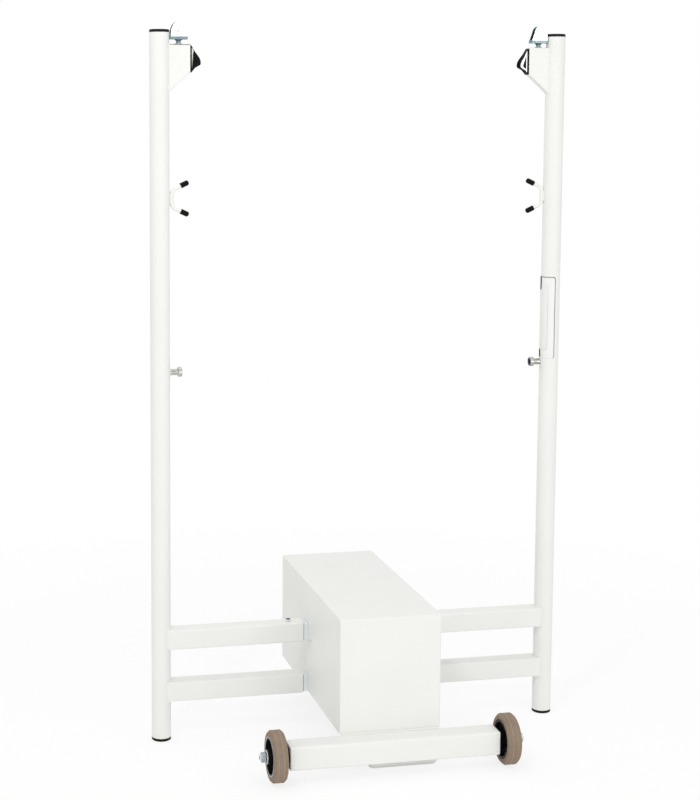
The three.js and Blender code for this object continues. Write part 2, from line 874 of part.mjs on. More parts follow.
// Solid rubber tyre with bevelled shoulders
function tyreSolid() {
  const seatRadius = wheel.seatRadius + seat;
  const bevelRadius = wheel.radius - wheel.shoulderDrop;
  return revolvedAlongX([
    [seatRadius, tyreInner],
    [bevelRadius - wheel.sideDrop, tyreInner],
    [bevelRadius, tyreInner + wheel.sideBevel],
    [wheel.radius, tyreInner + wheel.shoulder],
    [wheel.radius, tyreOuter - wheel.shoulder],
    [bevelRadius, tyreOuter - wheel.sideBevel],
    [bevelRadius - wheel.sideDrop, tyreOuter],
    [seatRadius, tyreOuter],
    [seatRadius, tyreInner],
  ], roundFine);
}

// Dished hub: a rim inside the tyre, a thin web and a long boss
function hubSolid() {
  const middle = (tyreInner + tyreOuter) / 2;
  const rimInner = wheel.seatRadius - hub.rimThickness;
  const web = hub.webThickness / 2;
  const bossRoot = hub.bossRadius + hub.draft;
  return revolvedAlongX([
    [hubBore, hub.bossInner],
    [hub.bossRadius, hub.bossInner],
    [bossRoot, middle - web],
    [rimInner - hub.draft, middle - web],
    [rimInner, tyreInner],
    [wheel.seatRadius, tyreInner],
    [wheel.seatRadius, tyreOuter],
    [rimInner, tyreOuter],
    [rimInner - hub.draft, middle + web],
    [bossRoot, middle + web],
    [hub.bossRadius, bossOuterFace],
    [hubBore, bossOuterFace],
    [hubBore, hub.bossInner],
  ], roundFine);
}

// Flanged bush between hub and stud
function bushSolid() {
  const inner = spindle.radius + bush.runningGap;
  const outer = hubBore - seat / 2;
  const face = bossOuterFace + seat / 2;
  const end = face + bush.flangeThickness;
  return revolvedAlongX([
    [inner, hub.bossInner],
    [outer, hub.bossInner],
    [outer, face],
    [bush.flangeRadius, face],
    [bush.flangeRadius, end],
    [inner, end],
    [inner, hub.bossInner],
  ], roundMedium);
}

function washerFace() {
  return bossOuterFace + seat / 2 + bush.flangeThickness + seat;
}

function washerSolid() {
  const from = washerFace();
  const bore = spindle.radius + seat;
  return revolvedAlongX(ringProfile(washer.radius, bore, from, from + washer.thickness), roundMedium);
}

// Hexagon nut with its corners turned off on both faces
function nutSolid() {
  const from = washerFace() + washer.thickness + seat;
  const to = from + nut.thickness;
  const corner = nut.acrossFlats / 2 / Math.cos(Math.PI / nutSides);
  const hexagon = new THREE.Shape();
  for (let index = 0; index < nutSides; index += 1) {
    const turn = index * Math.PI * 2 / nutSides;
    const place = [corner * Math.cos(turn), corner * Math.sin(turn)];
    if (index === 0) hexagon.moveTo(...place);
    else hexagon.lineTo(...place);
  }
  hexagon.closePath();
  const prism = extruded(hexagon, nut.thickness);
  prism.rotateY(Math.PI / 2);
  prism.translate(from, 0, 0);
  const turned = revolvedAlongX([
    [0, from],
    [nut.acrossFlats / 2, from],
    [corner, from + nut.chamfer],
    [corner, to - nut.chamfer],
    [nut.acrossFlats / 2, to],
    [0, to],
  ], roundMedium);
  const bore = spindle.radius + seat;
  const hole = barRoundX(bore, from - overrun, to + overrun);
  return solidFrom(prism).intersect(turned).subtract(hole);
}

// One post with all that rides on it, in its own frame: post on the Z axis, +X towards the box
function postFrame(side) {
  const frame = new THREE.Group();
  frame.add(
    piece(`${side}_post_tube`, postTube(), paint),
    piece(`${side}_top_cap`, topCap(), blackPlastic),
    piece(`${side}_post_foot`, postFoot(), blackPlastic),
    piece(`${side}_head_bracket`, headBracket(), paint),
    piece(`${side}_guide_yoke`, guideYoke(), zinc),
    piece(`${side}_guide_stud`, guideStud(), zinc),
    piece(`${side}_guide_pin`, guidePinSolid(), zinc),
    piece(`${side}_jam_cleat`, jamCleat(), blackNylon),
    piece(`${side}_cord_horn`, cordHorn(), paint),
    piece(`${side}_tie_pin`, tiePinSolid(), zinc),
    piece(`${side}_upper_rail`, railSolid(rail.upperTop, true), paint),
    piece(`${side}_lower_rail`, railSolid(rail.lowerTop, false), paint),
    piece(`${side}_lock_screw`, lockScrewSolid(), steel),
  );
  const sheaveMesh = piece(`${side}_guide_sheave`, guideSheave(), blackNylon);
  sheaveMesh.position.set(guideCentre(), 0, sheaveHeight());
  frame.add(sheaveMesh);
  cleatScrewHeights().forEach((height, index) => {
    const place = index === 0 ? 'lower' : 'upper';
    frame.add(piece(`${side}_cleat_screw_${place}`, cleatScrewSolid(height), steel));
  });
  for (const direction of [-1, 1]) {
    const place = direction < 0 ? 'lower' : 'upper';
    const { rodEnd, along } = hornPoints(direction);
    const mesh = piece(`${side}_horn_cap_${place}`, hornCapSolid(), blackPlastic);
    const mouth = rodEnd.clone().addScaledVector(along, -hornCap.overlap);
    mesh.position.set(mouth.x, 0, mouth.z + hornCentre);
    mesh.rotation.y = -Math.atan2(along.z, along.x);
    frame.add(mesh);
  }
  return frame;
}

// Stubs on one side of the box, in the same frame as that side's post
function stubs(side) {
  const pair = new THREE.Group();
  pair.add(
    piece(`${side}_upper_stub`, stubSolid(rail.upperTop), zinc),
    piece(`${side}_lower_stub`, stubSolid(rail.lowerTop), zinc),
  );
  return pair;
}

// One wheel with its spindle, along +X from the axle tube's end
function wheelSet(side) {
  const set = new THREE.Group();
  set.add(
    piece(`${side}_wheel_spindle`, wheelSpindle(), zinc),
    piece(`${side}_tyre`, tyreSolid(), wheelRubber),
    piece(`${side}_wheel_hub`, hubSolid(), blackPlastic),
    piece(`${side}_wheel_bush`, bushSolid(), steel),
    piece(`${side}_wheel_washer`, washerSolid(), zinc),
    piece(`${side}_wheel_nut`, nutSolid(), zinc),
  );
  return set;
}

const mobilePost = new THREE.Group();

const base = new THREE.Group();
base.add(
  piece('ballast_box', ballastBox(), paint),
  piece('box_plate', boxPlate(), steel),
  piece('ballast_block', ballastBlock(), concrete),
  piece('skid_tray', skidTray(), paint),
);
const tube = piece('axle_tube', axleTube(), paint);
tube.position.set(0, axleY, axle.height);
base.add(tube);
mobilePost.add(base);

for (const [side, direction] of [['left', -1], ['right', 1]]) {
  const turn = direction < 0 ? 0 : Math.PI;
  for (const group of [postFrame(side), stubs(side)]) {
    group.position.x = direction * post.spacing / 2;
    group.rotation.z = turn;
    mobilePost.add(group);
  }
  const wheelGroup = wheelSet(side);
  wheelGroup.position.set(direction * tubeEnd, axleY, axle.height);
  wheelGroup.rotation.z = direction < 0 ? Math.PI : 0;
  mobilePost.add(wheelGroup);
}

// The origin is under the middle of the whole object
const frontReach = axleY - wheel.radius;
const backReach = box.length / 2;
mobilePost.position.y = -(frontReach + backReach) / 2;

export default mobilePost;
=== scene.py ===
"""Looks of a mobile double badminton post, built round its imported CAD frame.

Sizes in this file are millimetres in the frame of the CAD model, +Z up. Left pieces are
modelled first, and right ones are turned copies of them.
"""

import json
import logging
import math
from collections.abc import Callable
from dataclasses import dataclass
from enum import Enum

import bmesh
import bpy
from mathutils import Matrix, Vector

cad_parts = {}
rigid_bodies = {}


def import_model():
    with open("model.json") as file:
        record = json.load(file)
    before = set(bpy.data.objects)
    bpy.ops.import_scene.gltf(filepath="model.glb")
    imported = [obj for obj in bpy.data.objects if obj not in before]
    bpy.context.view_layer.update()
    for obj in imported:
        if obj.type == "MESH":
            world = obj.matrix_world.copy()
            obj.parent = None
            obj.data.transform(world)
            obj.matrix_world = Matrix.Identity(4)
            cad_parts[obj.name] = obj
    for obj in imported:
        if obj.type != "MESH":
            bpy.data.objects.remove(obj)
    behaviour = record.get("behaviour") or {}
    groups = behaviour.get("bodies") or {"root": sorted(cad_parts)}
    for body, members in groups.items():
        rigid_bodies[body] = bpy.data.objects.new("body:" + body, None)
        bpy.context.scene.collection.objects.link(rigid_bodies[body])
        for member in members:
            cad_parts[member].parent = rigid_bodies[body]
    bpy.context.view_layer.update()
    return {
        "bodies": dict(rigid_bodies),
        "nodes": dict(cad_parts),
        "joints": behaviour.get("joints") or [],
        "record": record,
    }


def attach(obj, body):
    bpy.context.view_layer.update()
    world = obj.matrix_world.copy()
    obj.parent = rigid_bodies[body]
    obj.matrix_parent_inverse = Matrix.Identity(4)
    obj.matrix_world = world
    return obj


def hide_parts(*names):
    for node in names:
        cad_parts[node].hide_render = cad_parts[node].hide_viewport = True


MM = 0.001
MERGE = 0.002 * MM
MERGE_AFTER_CUT = 0.005 * MM
ALONG = 0.99
NEAR = 0.01
LOG = logging.getLogger("post")

Point = tuple[float, float, float]
Pair = tuple[float, float]
Colour = tuple[float, float, float, float]
FaceTest = Callable[[Vector, Vector], bool]


class Side(Enum):
    """The two sides of the object."""

    LEFT = "left"
    RIGHT = "right"


class Axis(Enum):
    """A world axis that a piece is turned about or extruded along."""

    X = (1.0, 0.0, 0.0)
    Y = (0.0, 1.0, 0.0)
    Z = (0.0, 0.0, 1.0)


POST_PLANE = 39.25
RAIL_SIZE: Pair = (40.0, 43.0)
RAIL_TOPS: Pair = (249.0, 132.0)
AXLE_MIDDLE: Pair = (-248.25, 56.0)
WELD_STEP = 2.6


# Materials


class NodeDesk:
    """Adds and links the nodes of one material."""

    def __init__(self, name: str) -> None:
        """Makes an empty node material with its shader.

        Args:
            name: name of the material.
        """
        self.material = bpy.data.materials.new(name)
        self.material.use_nodes = True
        self.tree = self.material.node_tree
        self.shader = self.tree.nodes["Principled BSDF"]
        self.place = self.add("ShaderNodeTexCoord").outputs["Object"]

    def add(self, kind: str, **settings: object) -> bpy.types.Node:
        """Adds a node.

        Args:
            kind: Blender's name for the node.
            settings: attributes of the node.

        Returns:
            The node.
        """
        node = self.tree.nodes.new(kind)
        for key, value in settings.items():
            setattr(node, key, value)
        return node

    def link(self, source: bpy.types.NodeSocket, target: bpy.types.NodeSocket) -> None:
        """Links one socket to another."""
        self.tree.links.new(source, target)

    def noise(self, scale: float, detail: float = 3.0, stretch: Point | None = None,
              seed: float = 0.0) -> bpy.types.NodeSocket:
        """Adds a noise pattern in object space.

        Args:
            scale: bumps per metre.
            detail: octaves.
            stretch: scale along each axis, for brushed patterns.
            seed: shift of the pattern.

        Returns:
            The pattern's value.
        """
        node = self.add("ShaderNodeTexNoise")
        node.inputs["Scale"].default_value = scale
        node.inputs["Detail"].default_value = detail
        mapping = self.add("ShaderNodeMapping")
        mapping.inputs["Location"].default_value = (seed, seed * 0.7, seed * 1.3)
        mapping.inputs["Scale"].default_value = stretch or (1.0, 1.0, 1.0)
        self.link(self.place, mapping.inputs["Vector"])
        self.link(mapping.outputs["Vector"], node.inputs["Vector"])
        return node.outputs["Fac"]

    def remap(self, value: bpy.types.NodeSocket, low: float, high: float,
              new_low: float, new_high: float) -> bpy.types.NodeSocket:
        """Maps a value from one range to another, clamped.

        Args:
            value: the value.
            low: value that becomes new_low.
            high: value that becomes new_high.
            new_low: result at low.
            new_high: result at high.

        Returns:
            The mapped value.
        """
        node = self.add("ShaderNodeMapRange")
        self.link(value, node.inputs["Value"])
        keys = ("From Min", "From Max", "To Min", "To Max")
        for key, number in zip(keys, (low, high, new_low, new_high)):
            node.inputs[key].default_value = number
        return node.outputs["Result"]

    def math(self, operation: str, first: bpy.types.NodeSocket,
             second: bpy.types.NodeSocket | float = 0.0) -> bpy.types.NodeSocket:
        """Adds a math node.

        Args:
            operation: Blender's name for it.
            first: first value.
            second: second value or number.

        Returns:
            The result.
        """
        node = self.add("ShaderNodeMath", operation=operation)
        self.link(first, node.inputs[0])
        if isinstance(second, (int, float)):
            node.inputs[1].default_value = second
        else:
            self.link(second, node.inputs[1])
        return node.outputs[0]

    def blend(self, factor: bpy.types.NodeSocket, first: Colour | bpy.types.NodeSocket,
              second: Colour | bpy.types.NodeSocket) -> bpy.types.NodeSocket:
        """Mixes two colours.

        Args:
            factor: share of the second colour.
            first: colour or socket.
            second: colour or socket.

        Returns:
            The mixed colour.
        """
        node = self.add("ShaderNodeMix", data_type="RGBA")
        self.link(factor, node.inputs[0])
        for socket, value in ((node.inputs[6], first), (node.inputs[7], second)):
            if isinstance(value, tuple):
                socket.default_value = value
            else:
                self.link(value, socket)
        return node.outputs[2]

    def coordinate(self, letter: str) -> bpy.types.NodeSocket:
        """Returns the place's X, Y or Z, in metres."""
        parts = self.add("ShaderNodeSeparateXYZ")
        self.link(self.place, parts.inputs[0])
        return parts.outputs[letter]

    def height(self) -> bpy.types.NodeSocket:
        """Returns the height above the floor, in metres."""
        return self.coordinate("Z")

    def across(self) -> bpy.types.NodeSocket:
        """Returns the distance from the object's middle plane, in metres."""
        return self.math("ABSOLUTE", self.coordinate("X"))

    def bump(self, value: bpy.types.NodeSocket, strength: float, distance: float) -> None:
        """Adds a bump to the shader.

        Args:
            value: height pattern.
            strength: how strong it is.
            distance: height of the bumps in metres.
        """
        node = self.add("ShaderNodeBump")
        node.inputs["Strength"].default_value = strength
        node.inputs["Distance"].default_value = distance
        self.link(value, node.inputs["Height"])
        last = self.shader.inputs["Normal"]
        if last.links:
            self.link(last.links[0].from_socket, node.inputs["Normal"])
        self.link(node.outputs["Normal"], last)


def tint(red: float, green: float, blue: float) -> Colour:
    """Returns a colour with its alpha."""
    return (red, green, blue, 1.0)


@dataclass(frozen=True)
class Finish:
    """A surface finish. Its patterns lie in object space, in metres."""

    name: str
    slot: str
    colour: Colour
    patch: Colour
    patch_scale: float
    grain_scale: float
    grain_share: float
    rough: Pair
    bump_scale: float
    bump_strength: float
    metallic: float = 0.0
    specular: float = 0.5
    coat: float = 0.0
    coat_rough: float = 0.1

    def dress(self, desk: NodeDesk) -> bpy.types.NodeSocket:
        """Builds the shared part of the finish.

        Args:
            desk: the material's desk.

        Returns:
            The colour so far.
        """
        patches = desk.remap(desk.noise(self.patch_scale, 4.0), 0.35, 0.68, 0.0, 1.0)
        colour = desk.blend(patches, self.colour, self.patch)
        grain = desk.noise(self.grain_scale, 2.0, seed=3.1)
        shade = desk.remap(grain, 0.3, 0.7, 0.0, self.grain_share)
        colour = desk.blend(shade, colour, tint(*(0.7 * part for part in self.colour[:3])))
        rough = desk.remap(desk.noise(self.patch_scale * 2.3, 5.0, seed=1.7), 0.3, 0.7, *self.rough)
        desk.link(rough, desk.shader.inputs["Roughness"])
        desk.bump(desk.noise(self.bump_scale, 2.0, seed=5.3), self.bump_strength, 0.0002)
        desk.shader.inputs["Metallic"].default_value = self.metallic
        desk.shader.inputs["Specular IOR Level"].default_value = self.specular
        desk.shader.inputs["Coat Weight"].default_value = self.coat
        desk.shader.inputs["Coat Roughness"].default_value = self.coat_rough
        return colour

    def material(self) -> bpy.types.Material:
        """Returns the material, made on first use."""
        made = bpy.data.materials.get(self.name)
        if made is not None:
            return made
        desk = NodeDesk(self.name)
        desk.link(self.dress(desk), desk.shader.inputs["Base Color"])
        return desk.material


@dataclass(frozen=True)
class FloorWorn(Finish):
    """A finish that is scuffed grey near the floor."""

    scuff: Colour = tint(0.42, 0.41, 0.39)
    scuff_top: float = 0.10
    scuff_share: float = 0.5

    def dress(self, desk: NodeDesk) -> bpy.types.NodeSocket:
        """Builds the finish and its scuffs.

        Args:
            desk: the material's desk.

        Returns:
            The colour.
        """
        colour = Finish.dress(self, desk)
        low = desk.remap(desk.height(), 0.0, self.scuff_top, 1.0, 0.0)
        streaks = desk.noise(60.0, 6.0, (1.0, 1.0, 5.0), 8.0)
        share = desk.remap(streaks, 0.56, 0.72, 0.0, self.scuff_share)
        return desk.blend(desk.math("MULTIPLY", low, share), colour, self.scuff)


@dataclass(frozen=True)
class FadingHighlight(Finish):
    """A pale painted highlight that fades to the dark material under it between two heights."""

    under: Colour = tint(0.05, 0.055, 0.04)
    fade: Pair = (1.470, 1.502)

    def dress(self, desk: NodeDesk) -> bpy.types.NodeSocket:
        """Builds the finish and its fading.

        Args:
            desk: the material's desk.

        Returns:
            The colour.
        """
        colour = Finish.dress(self, desk)
        return desk.blend(desk.remap(desk.height(), *self.fade, 1.0, 0.0), colour, self.under)


@dataclass(frozen=True)
class Spangled(Finish):
    """Zinc plate: crystals of slightly different grey and faint brushing, and painted reflection bands
    where a stretch is given.
    """

    crystal_scale: float = 260.0
    crystal: Colour = tint(0.5, 0.55, 0.6)
    brushing: Point = (1.0, 1.0, 1.0)
    reflection_stretch: Point | None = None

    def dress(self, desk: NodeDesk) -> bpy.types.NodeSocket:
        """Builds the finish with its crystals.

        Args:
            desk: the material's desk.

        Returns:
            The colour.
        """
        colour = Finish.dress(self, desk)
        cells = desk.add("ShaderNodeTexVoronoi")
        cells.inputs["Scale"].default_value = self.crystal_scale
        desk.link(desk.place, cells.inputs["Vector"])
        parts = desk.add("ShaderNodeSeparateColor")
        desk.link(cells.outputs["Color"], parts.inputs[0])
        share = desk.remap(parts.outputs[0], 0.0, 1.0, 0.0, 0.45)
        desk.bump(desk.noise(900.0, 2.0, self.brushing, 2.0), 0.06, 0.0001)
        colour = desk.blend(share, colour, self.crystal)
        if self.reflection_stretch is None:
            return colour
        # Painted reflection: dark bands along the bar, in the patch colour.
        streaks = desk.remap(desk.noise(190.0, 1.0, self.reflection_stretch, 6.0), 0.47, 0.60, 0.0, 0.85)
        return desk.blend(streaks, colour, self.patch)


@dataclass(frozen=True)
class Rubber(Finish):
    """Solid rubber with lighter mould lines, each (distance from the middle plane, strength)."""

    line_colour: Colour = tint(0.52, 0.42, 0.30)
    lines: tuple[Pair, ...] = (
        (0.2380, 0.4), (0.2462, 1.0), (0.2530, 0.25), (0.2572, 0.9), (0.2612, 0.35),
    )
    line_half: float = 0.0006

    def dress(self, desk: NodeDesk) -> bpy.types.NodeSocket:
        """Builds the rubber with its mould lines.

        Args:
            desk: the material's desk.

        Returns:
            The colour.
        """
        colour = Finish.dress(self, desk)
        across = desk.across()
        breaks = desk.remap(desk.noise(90.0, 3.0, seed=4.0), 0.3, 0.6, 0.35, 1.0)
        for line, strength in self.lines:
            away = desk.math("ABSOLUTE", desk.math("SUBTRACT", across, line))
            share = desk.remap(away, 0.0, self.line_half, strength, 0.0)
            colour = desk.blend(desk.math("MULTIPLY", share, breaks), colour, self.line_colour)
        return colour


PAINT = FloorWorn("white_powder_coat", "white_paint", tint(0.86, 0.865, 0.835), tint(0.845, 0.848, 0.82),
                  9.0, 700.0, 0.05, (0.40, 0.50), 950.0, 0.10, specular=0.25,
                  scuff_share=0.2, scuff_top=0.03)
# Painted light: the tray's white is lighter than the box's to offset the shade low under the box.
TRAY_PAINT_LIGHTENED = Finish("white_powder_coat_painted_lighter_on_tray", "white_paint", tint(0.93, 0.93, 0.905),
                    tint(0.915, 0.915, 0.89), 9.0, 700.0, 0.04, (0.40, 0.50), 950.0, 0.10, specular=0.25)
# Painted shade: dark grey for rounded edges and creases of the white paint that fall into shade.
PAINTED_EDGE_SHADE = Finish("powder_coat_painted_edge_shade", "white_paint", tint(0.20, 0.20, 0.19),
                    tint(0.30, 0.295, 0.28), 90.0, 900.0, 0.15, (0.4, 0.5), 950.0, 0.1)
PLATE_FILM = Finish("bare_plate_film", "white_paint", tint(0.86, 0.865, 0.84),
                    tint(0.84, 0.845, 0.825), 20.0, 900.0, 0.04, (0.30, 0.40), 1500.0, 0.04)
# Painted shadow: a faint grey line along the insert's edge.
PLATE_INSERT_EDGE_SHADOW = Finish("bare_insert_painted_edge_shadow", "white_paint", tint(0.58, 0.59, 0.57),
                          tint(0.52, 0.53, 0.51), 80.0, 900.0, 0.2, (0.45, 0.6), 1500.0, 0.05)
PLATE_INSERT = Finish("bare_plate_insert", "white_paint", tint(0.835, 0.84, 0.81),
                      tint(0.81, 0.815, 0.785), 20.0, 900.0, 0.04, (0.32, 0.42), 1500.0, 0.04)
# Painted shadow: a dark line along the plate's edge.
PLATE_EDGE_SHADOW = Finish("bare_plate_painted_edge_shadow", "white_paint", tint(0.20, 0.21, 0.21), tint(0.28, 0.28, 0.28),
                    80.0, 900.0, 0.2, (0.45, 0.6), 1500.0, 0.05)
ZINC = Spangled("zinc_plate_bright", "zinc_plate", tint(0.79, 0.82, 0.84), tint(0.74, 0.78, 0.81),
                35.0, 1200.0, 0.08, (0.26, 0.36), 1600.0, 0.03, metallic=1.0,
                crystal=tint(0.70, 0.74, 0.77), crystal_scale=420.0)
STUB_ZINC = Spangled("zinc_plate_on_stub", "zinc_plate", tint(0.84, 0.88, 0.91),
                     tint(0.80, 0.845, 0.88), 25.0, 1200.0, 0.04, (0.34, 0.44), 1600.0, 0.02,
                     metallic=0.45, crystal=tint(0.77, 0.815, 0.85), crystal_scale=240.0)
# Painted shade: a dark copy of the zinc plate, for zinc faces that fall into shade.
ZINC_PAINTED_SHADE = Spangled("zinc_plate_painted_shade", "zinc_plate", tint(0.17, 0.24, 0.26),
                        tint(0.27, 0.34, 0.36), 260.0, 1500.0, 0.3, (0.28, 0.46), 2200.0, 0.2,
                        metallic=1.0, crystal=tint(0.12, 0.18, 0.20), crystal_scale=620.0)
# Painted shade: a near-black copy of the zinc plate, for bores, sockets, end faces and the shadow at a
# rail's mouth.
ZINC_DEEP_SHADE = Spangled("zinc_plate_painted_deep_shade", "zinc_plate", tint(0.05, 0.065, 0.085),
                     tint(0.09, 0.11, 0.13), 120.0, 1500.0, 0.3, (0.34, 0.5), 2200.0, 0.1,
                     metallic=1.0, crystal=tint(0.04, 0.05, 0.06), crystal_scale=700.0)
# Painted reflection: dark bands along the turned bar.
TURNED_BAR = Spangled("turned_and_plated_bar", "zinc_plate", tint(0.74, 0.73, 0.68),
                      tint(0.30, 0.31, 0.28), 70.0, 1400.0, 0.2, (0.16, 0.28), 1800.0, 0.08,
                      metallic=1.0, crystal=tint(0.62, 0.61, 0.55), crystal_scale=500.0,
                      reflection_stretch=(0.05, 1.6, 1.6))
STEEL = Spangled("turned_steel", "steel", tint(0.46, 0.47, 0.48), tint(0.36, 0.37, 0.38),
                 90.0, 1600.0, 0.3, (0.26, 0.42), 2400.0, 0.10, metallic=1.0,
                 crystal=tint(0.42, 0.42, 0.43), crystal_scale=900.0)
NUT_STEEL = Spangled("plated_nut", "zinc_plate", tint(0.62, 0.65, 0.66), tint(0.22, 0.25, 0.26),
                     230.0, 1600.0, 0.3, (0.2, 0.34), 2400.0, 0.12, metallic=1.0,
                     crystal=tint(0.36, 0.39, 0.40), crystal_scale=600.0)
NYLON = Finish("black_nylon_moulded", "black_nylon", tint(0.006, 0.006, 0.007),
               tint(0.010, 0.010, 0.011), 70.0, 1500.0, 0.4, (0.24, 0.34), 1400.0, 0.05,
               specular=0.05)
NYLON_PANEL = Finish("black_nylon_polished", "black_nylon", tint(0.006, 0.006, 0.007),
                     tint(0.010, 0.010, 0.011), 70.0, 1500.0, 0.4, (0.10, 0.16), 700.0, 0.03,
                     specular=1.0, coat=1.0, coat_rough=0.12)
# Painted highlight: a pale glare strip on the cleat's near side, fading to black nylon lower down.
NYLON_PAINTED_GLARE = FadingHighlight("black_nylon_painted_glare", "black_nylon", tint(0.78, 0.77, 0.68),
                     tint(0.68, 0.67, 0.58), 160.0, 1500.0, 0.3, (0.3, 0.45), 1400.0, 0.05)
PLASTIC = Finish("black_plastic_grained", "black_plastic", tint(0.008, 0.008, 0.009),
                 tint(0.014, 0.014, 0.015), 50.0, 1700.0, 0.5, (0.34, 0.50), 2600.0, 0.16, specular=0.12)
VINYL = Finish("black_vinyl_dipped", "black_plastic", tint(0.006, 0.006, 0.006),
               tint(0.011, 0.010, 0.010), 90.0, 1500.0, 0.4, (0.20, 0.30), 500.0, 0.07, specular=0.05)
HUB_GLOSS = Finish("hub_moulding_gloss", "black_plastic", tint(0.006, 0.006, 0.007),
                   tint(0.012, 0.012, 0.013), 40.0, 1400.0, 0.4, (0.2, 0.32), 1800.0, 0.03,
                   specular=0.04)
# A pale metallic ring on the hub's outer rim face.
HUB_RIM = Finish("hub_rim_pale_ring", "black_plastic", tint(0.50, 0.51, 0.54), tint(0.34, 0.35, 0.38),
                 60.0, 1600.0, 0.35, (0.28, 0.42), 2000.0, 0.10, metallic=0.6)
TYRE = Rubber("taupe_solid_rubber", "taupe_rubber", tint(0.285, 0.211, 0.154),
              tint(0.248, 0.181, 0.130), 30.0, 1300.0, 0.3, (0.62, 0.80), 1100.0, 0.35, specular=0.35)
CONCRETE = Finish("cast_concrete", "concrete", tint(0.27, 0.26, 0.25), tint(0.20, 0.195, 0.185),
                  25.0, 300.0, 0.4, (0.85, 0.98), 350.0, 0.6)
BOX_STEEL = Spangled("plate_mill_steel", "steel", tint(0.33, 0.33, 0.34), tint(0.25, 0.25, 0.26),
                     12.0, 700.0, 0.3, (0.38, 0.55), 900.0, 0.15, metallic=1.0,
                     crystal=tint(0.30, 0.30, 0.31), crystal_scale=300.0)


# The bench: modelling with Blender's operators


def metres(point: Point | Vector) -> Vector:
    """Returns a point of millimetres in metres."""
    return Vector(point) * MM


def clear() -> None:
    """Leaves edit mode and deselects everything."""
    if bpy.context.object is not None and bpy.context.object.mode != "OBJECT":
        bpy.ops.object.mode_set(mode="OBJECT")
    bpy.ops.object.select_all(action="DESELECT")


def take(piece: bpy.types.Object) -> None:
    """Makes a piece the only selected and the active one."""
    clear()
    piece.select_set(True)
    bpy.context.view_layer.objects.active = piece


def edit(piece: bpy.types.Object, mode: str = "FACE") -> None:
    """Opens a piece in edit mode with one kind of element to select."""
    take(piece)
    bpy.ops.object.mode_set(mode="EDIT")
    bpy.ops.mesh.select_mode(type=mode)


def settle(piece: bpy.types.Object) -> bpy.types.Object:
    """Puts a piece's place into its mesh.

    Args:
        piece: the piece.

    Returns:
        The piece.
    """
    take(piece)
    bpy.ops.object.transform_apply(location=True, rotation=True, scale=True)
    return piece


def pick_faces(piece: bpy.types.Object, test: FaceTest) -> None:
    """Selects the faces whose middle, in millimetres, and normal pass a test.

    Args:
        piece: the piece, open in edit mode.
        test: takes a face's middle and its normal.
    """
    bpy.ops.mesh.select_mode(type="FACE")
    mesh = bmesh.from_edit_mesh(piece.data)
    for face in mesh.faces:
        face.select_set(test(face.calc_center_median() / MM, face.normal))
    mesh.select_flush_mode()
    bmesh.update_edit_mesh(piece.data)


def pick_edges(piece: bpy.types.Object, test: FaceTest) -> None:
    """Selects the edges whose middle, in millimetres, and direction pass a test.

    Args:
        piece: the piece, open in edit mode.
        test: takes an edge's middle and its direction.
    """
    bpy.ops.mesh.select_mode(type="EDGE")
    mesh = bmesh.from_edit_mesh(piece.data)
    for edge in mesh.edges:
        ends = [vert.co for vert in edge.verts]
        edge.select_set(test((ends[0] + ends[1]) / 2 / MM, (ends[1] - ends[0]).normalized()))
    mesh.select_flush_mode()
    bmesh.update_edit_mesh(piece.data)


def extrude(way: Vector | Point) -> None:
    """Extrudes what is selected in edit mode along a way in metres."""
    bpy.ops.mesh.extrude_region_move(TRANSFORM_OT_translate={"value": way})


def clean() -> None:
    """Merges doubles of the piece in edit mode, turns its faces outwards and leaves edit mode."""
    bpy.ops.mesh.select_mode(type="VERT")
    bpy.ops.mesh.select_all(action="SELECT")
    bpy.ops.mesh.remove_doubles(threshold=MERGE)
    bpy.ops.mesh.normals_make_consistent(inside=False)
    bpy.ops.object.mode_set(mode="OBJECT")


def apply(piece: bpy.types.Object, kind: str, **settings: object) -> None:
    """Adds a modifier and applies it.

    Args:
        piece: the piece.
        kind: Blender's name for the modifier.
        settings: attributes of the modifier.
    """
    take(piece)
    modifier = piece.modifiers.new(kind.title(), kind)
    for key, value in settings.items():
        setattr(modifier, key, value)
    bpy.ops.object.modifier_apply(modifier=modifier.name)


def soften(piece: bpy.types.Object, width: float, segments: int = 2, angle: float = 35.0) -> None:
    """Rounds a piece's edges and shades it smooth across them.

    Args:
        piece: the piece.
        width: width of the rounding in millimetres.
        segments: faces across it.
        angle: least angle of an edge that is rounded, in degrees.
    """
    apply(piece, "BEVEL", width=width * MM, segments=segments, limit_method="ANGLE",
          angle_limit=math.radians(angle), use_clamp_overlap=True)
    smooth(piece, 50.0)


def smooth(piece: bpy.types.Object, angle: float = 35.0) -> None:
    """Shades a piece smooth below an angle in degrees, with its large faces flat."""
    take(piece)
    bpy.ops.mesh.customdata_custom_splitnormals_clear()
    bpy.ops.object.shade_smooth_by_angle(angle=math.radians(angle), keep_sharp_edges=False)
    apply(piece, "WEIGHTED_NORMAL", mode="FACE_AREA", weight=60, keep_sharp=True)


def chain(name: str, points: list[Point], closed: bool) -> bpy.types.Object:
    """Draws a chain of corners by extruding a vertex.

    Args:
        name: name of the piece.
        points: the corners, in millimetres.
        closed: whether the last corner joins the first.

    Returns:
        The piece, open in edit mode with all selected.
    """
    clear()
    bpy.ops.mesh.primitive_plane_add(size=MM, enter_editmode=True)
    piece = bpy.context.object
    piece.name = name
    bpy.ops.mesh.select_mode(type="VERT")
    bpy.ops.mesh.merge(type="CENTER")
    bpy.ops.transform.translate(value=metres(points[0]))
    for before, after in zip(points, points[1:]):
        extrude(metres(after) - metres(before))
    if closed:
        bpy.ops.mesh.select_all(action="SELECT")
        bpy.ops.mesh.edge_face_add()
    bpy.ops.mesh.select_all(action="SELECT")
    return piece


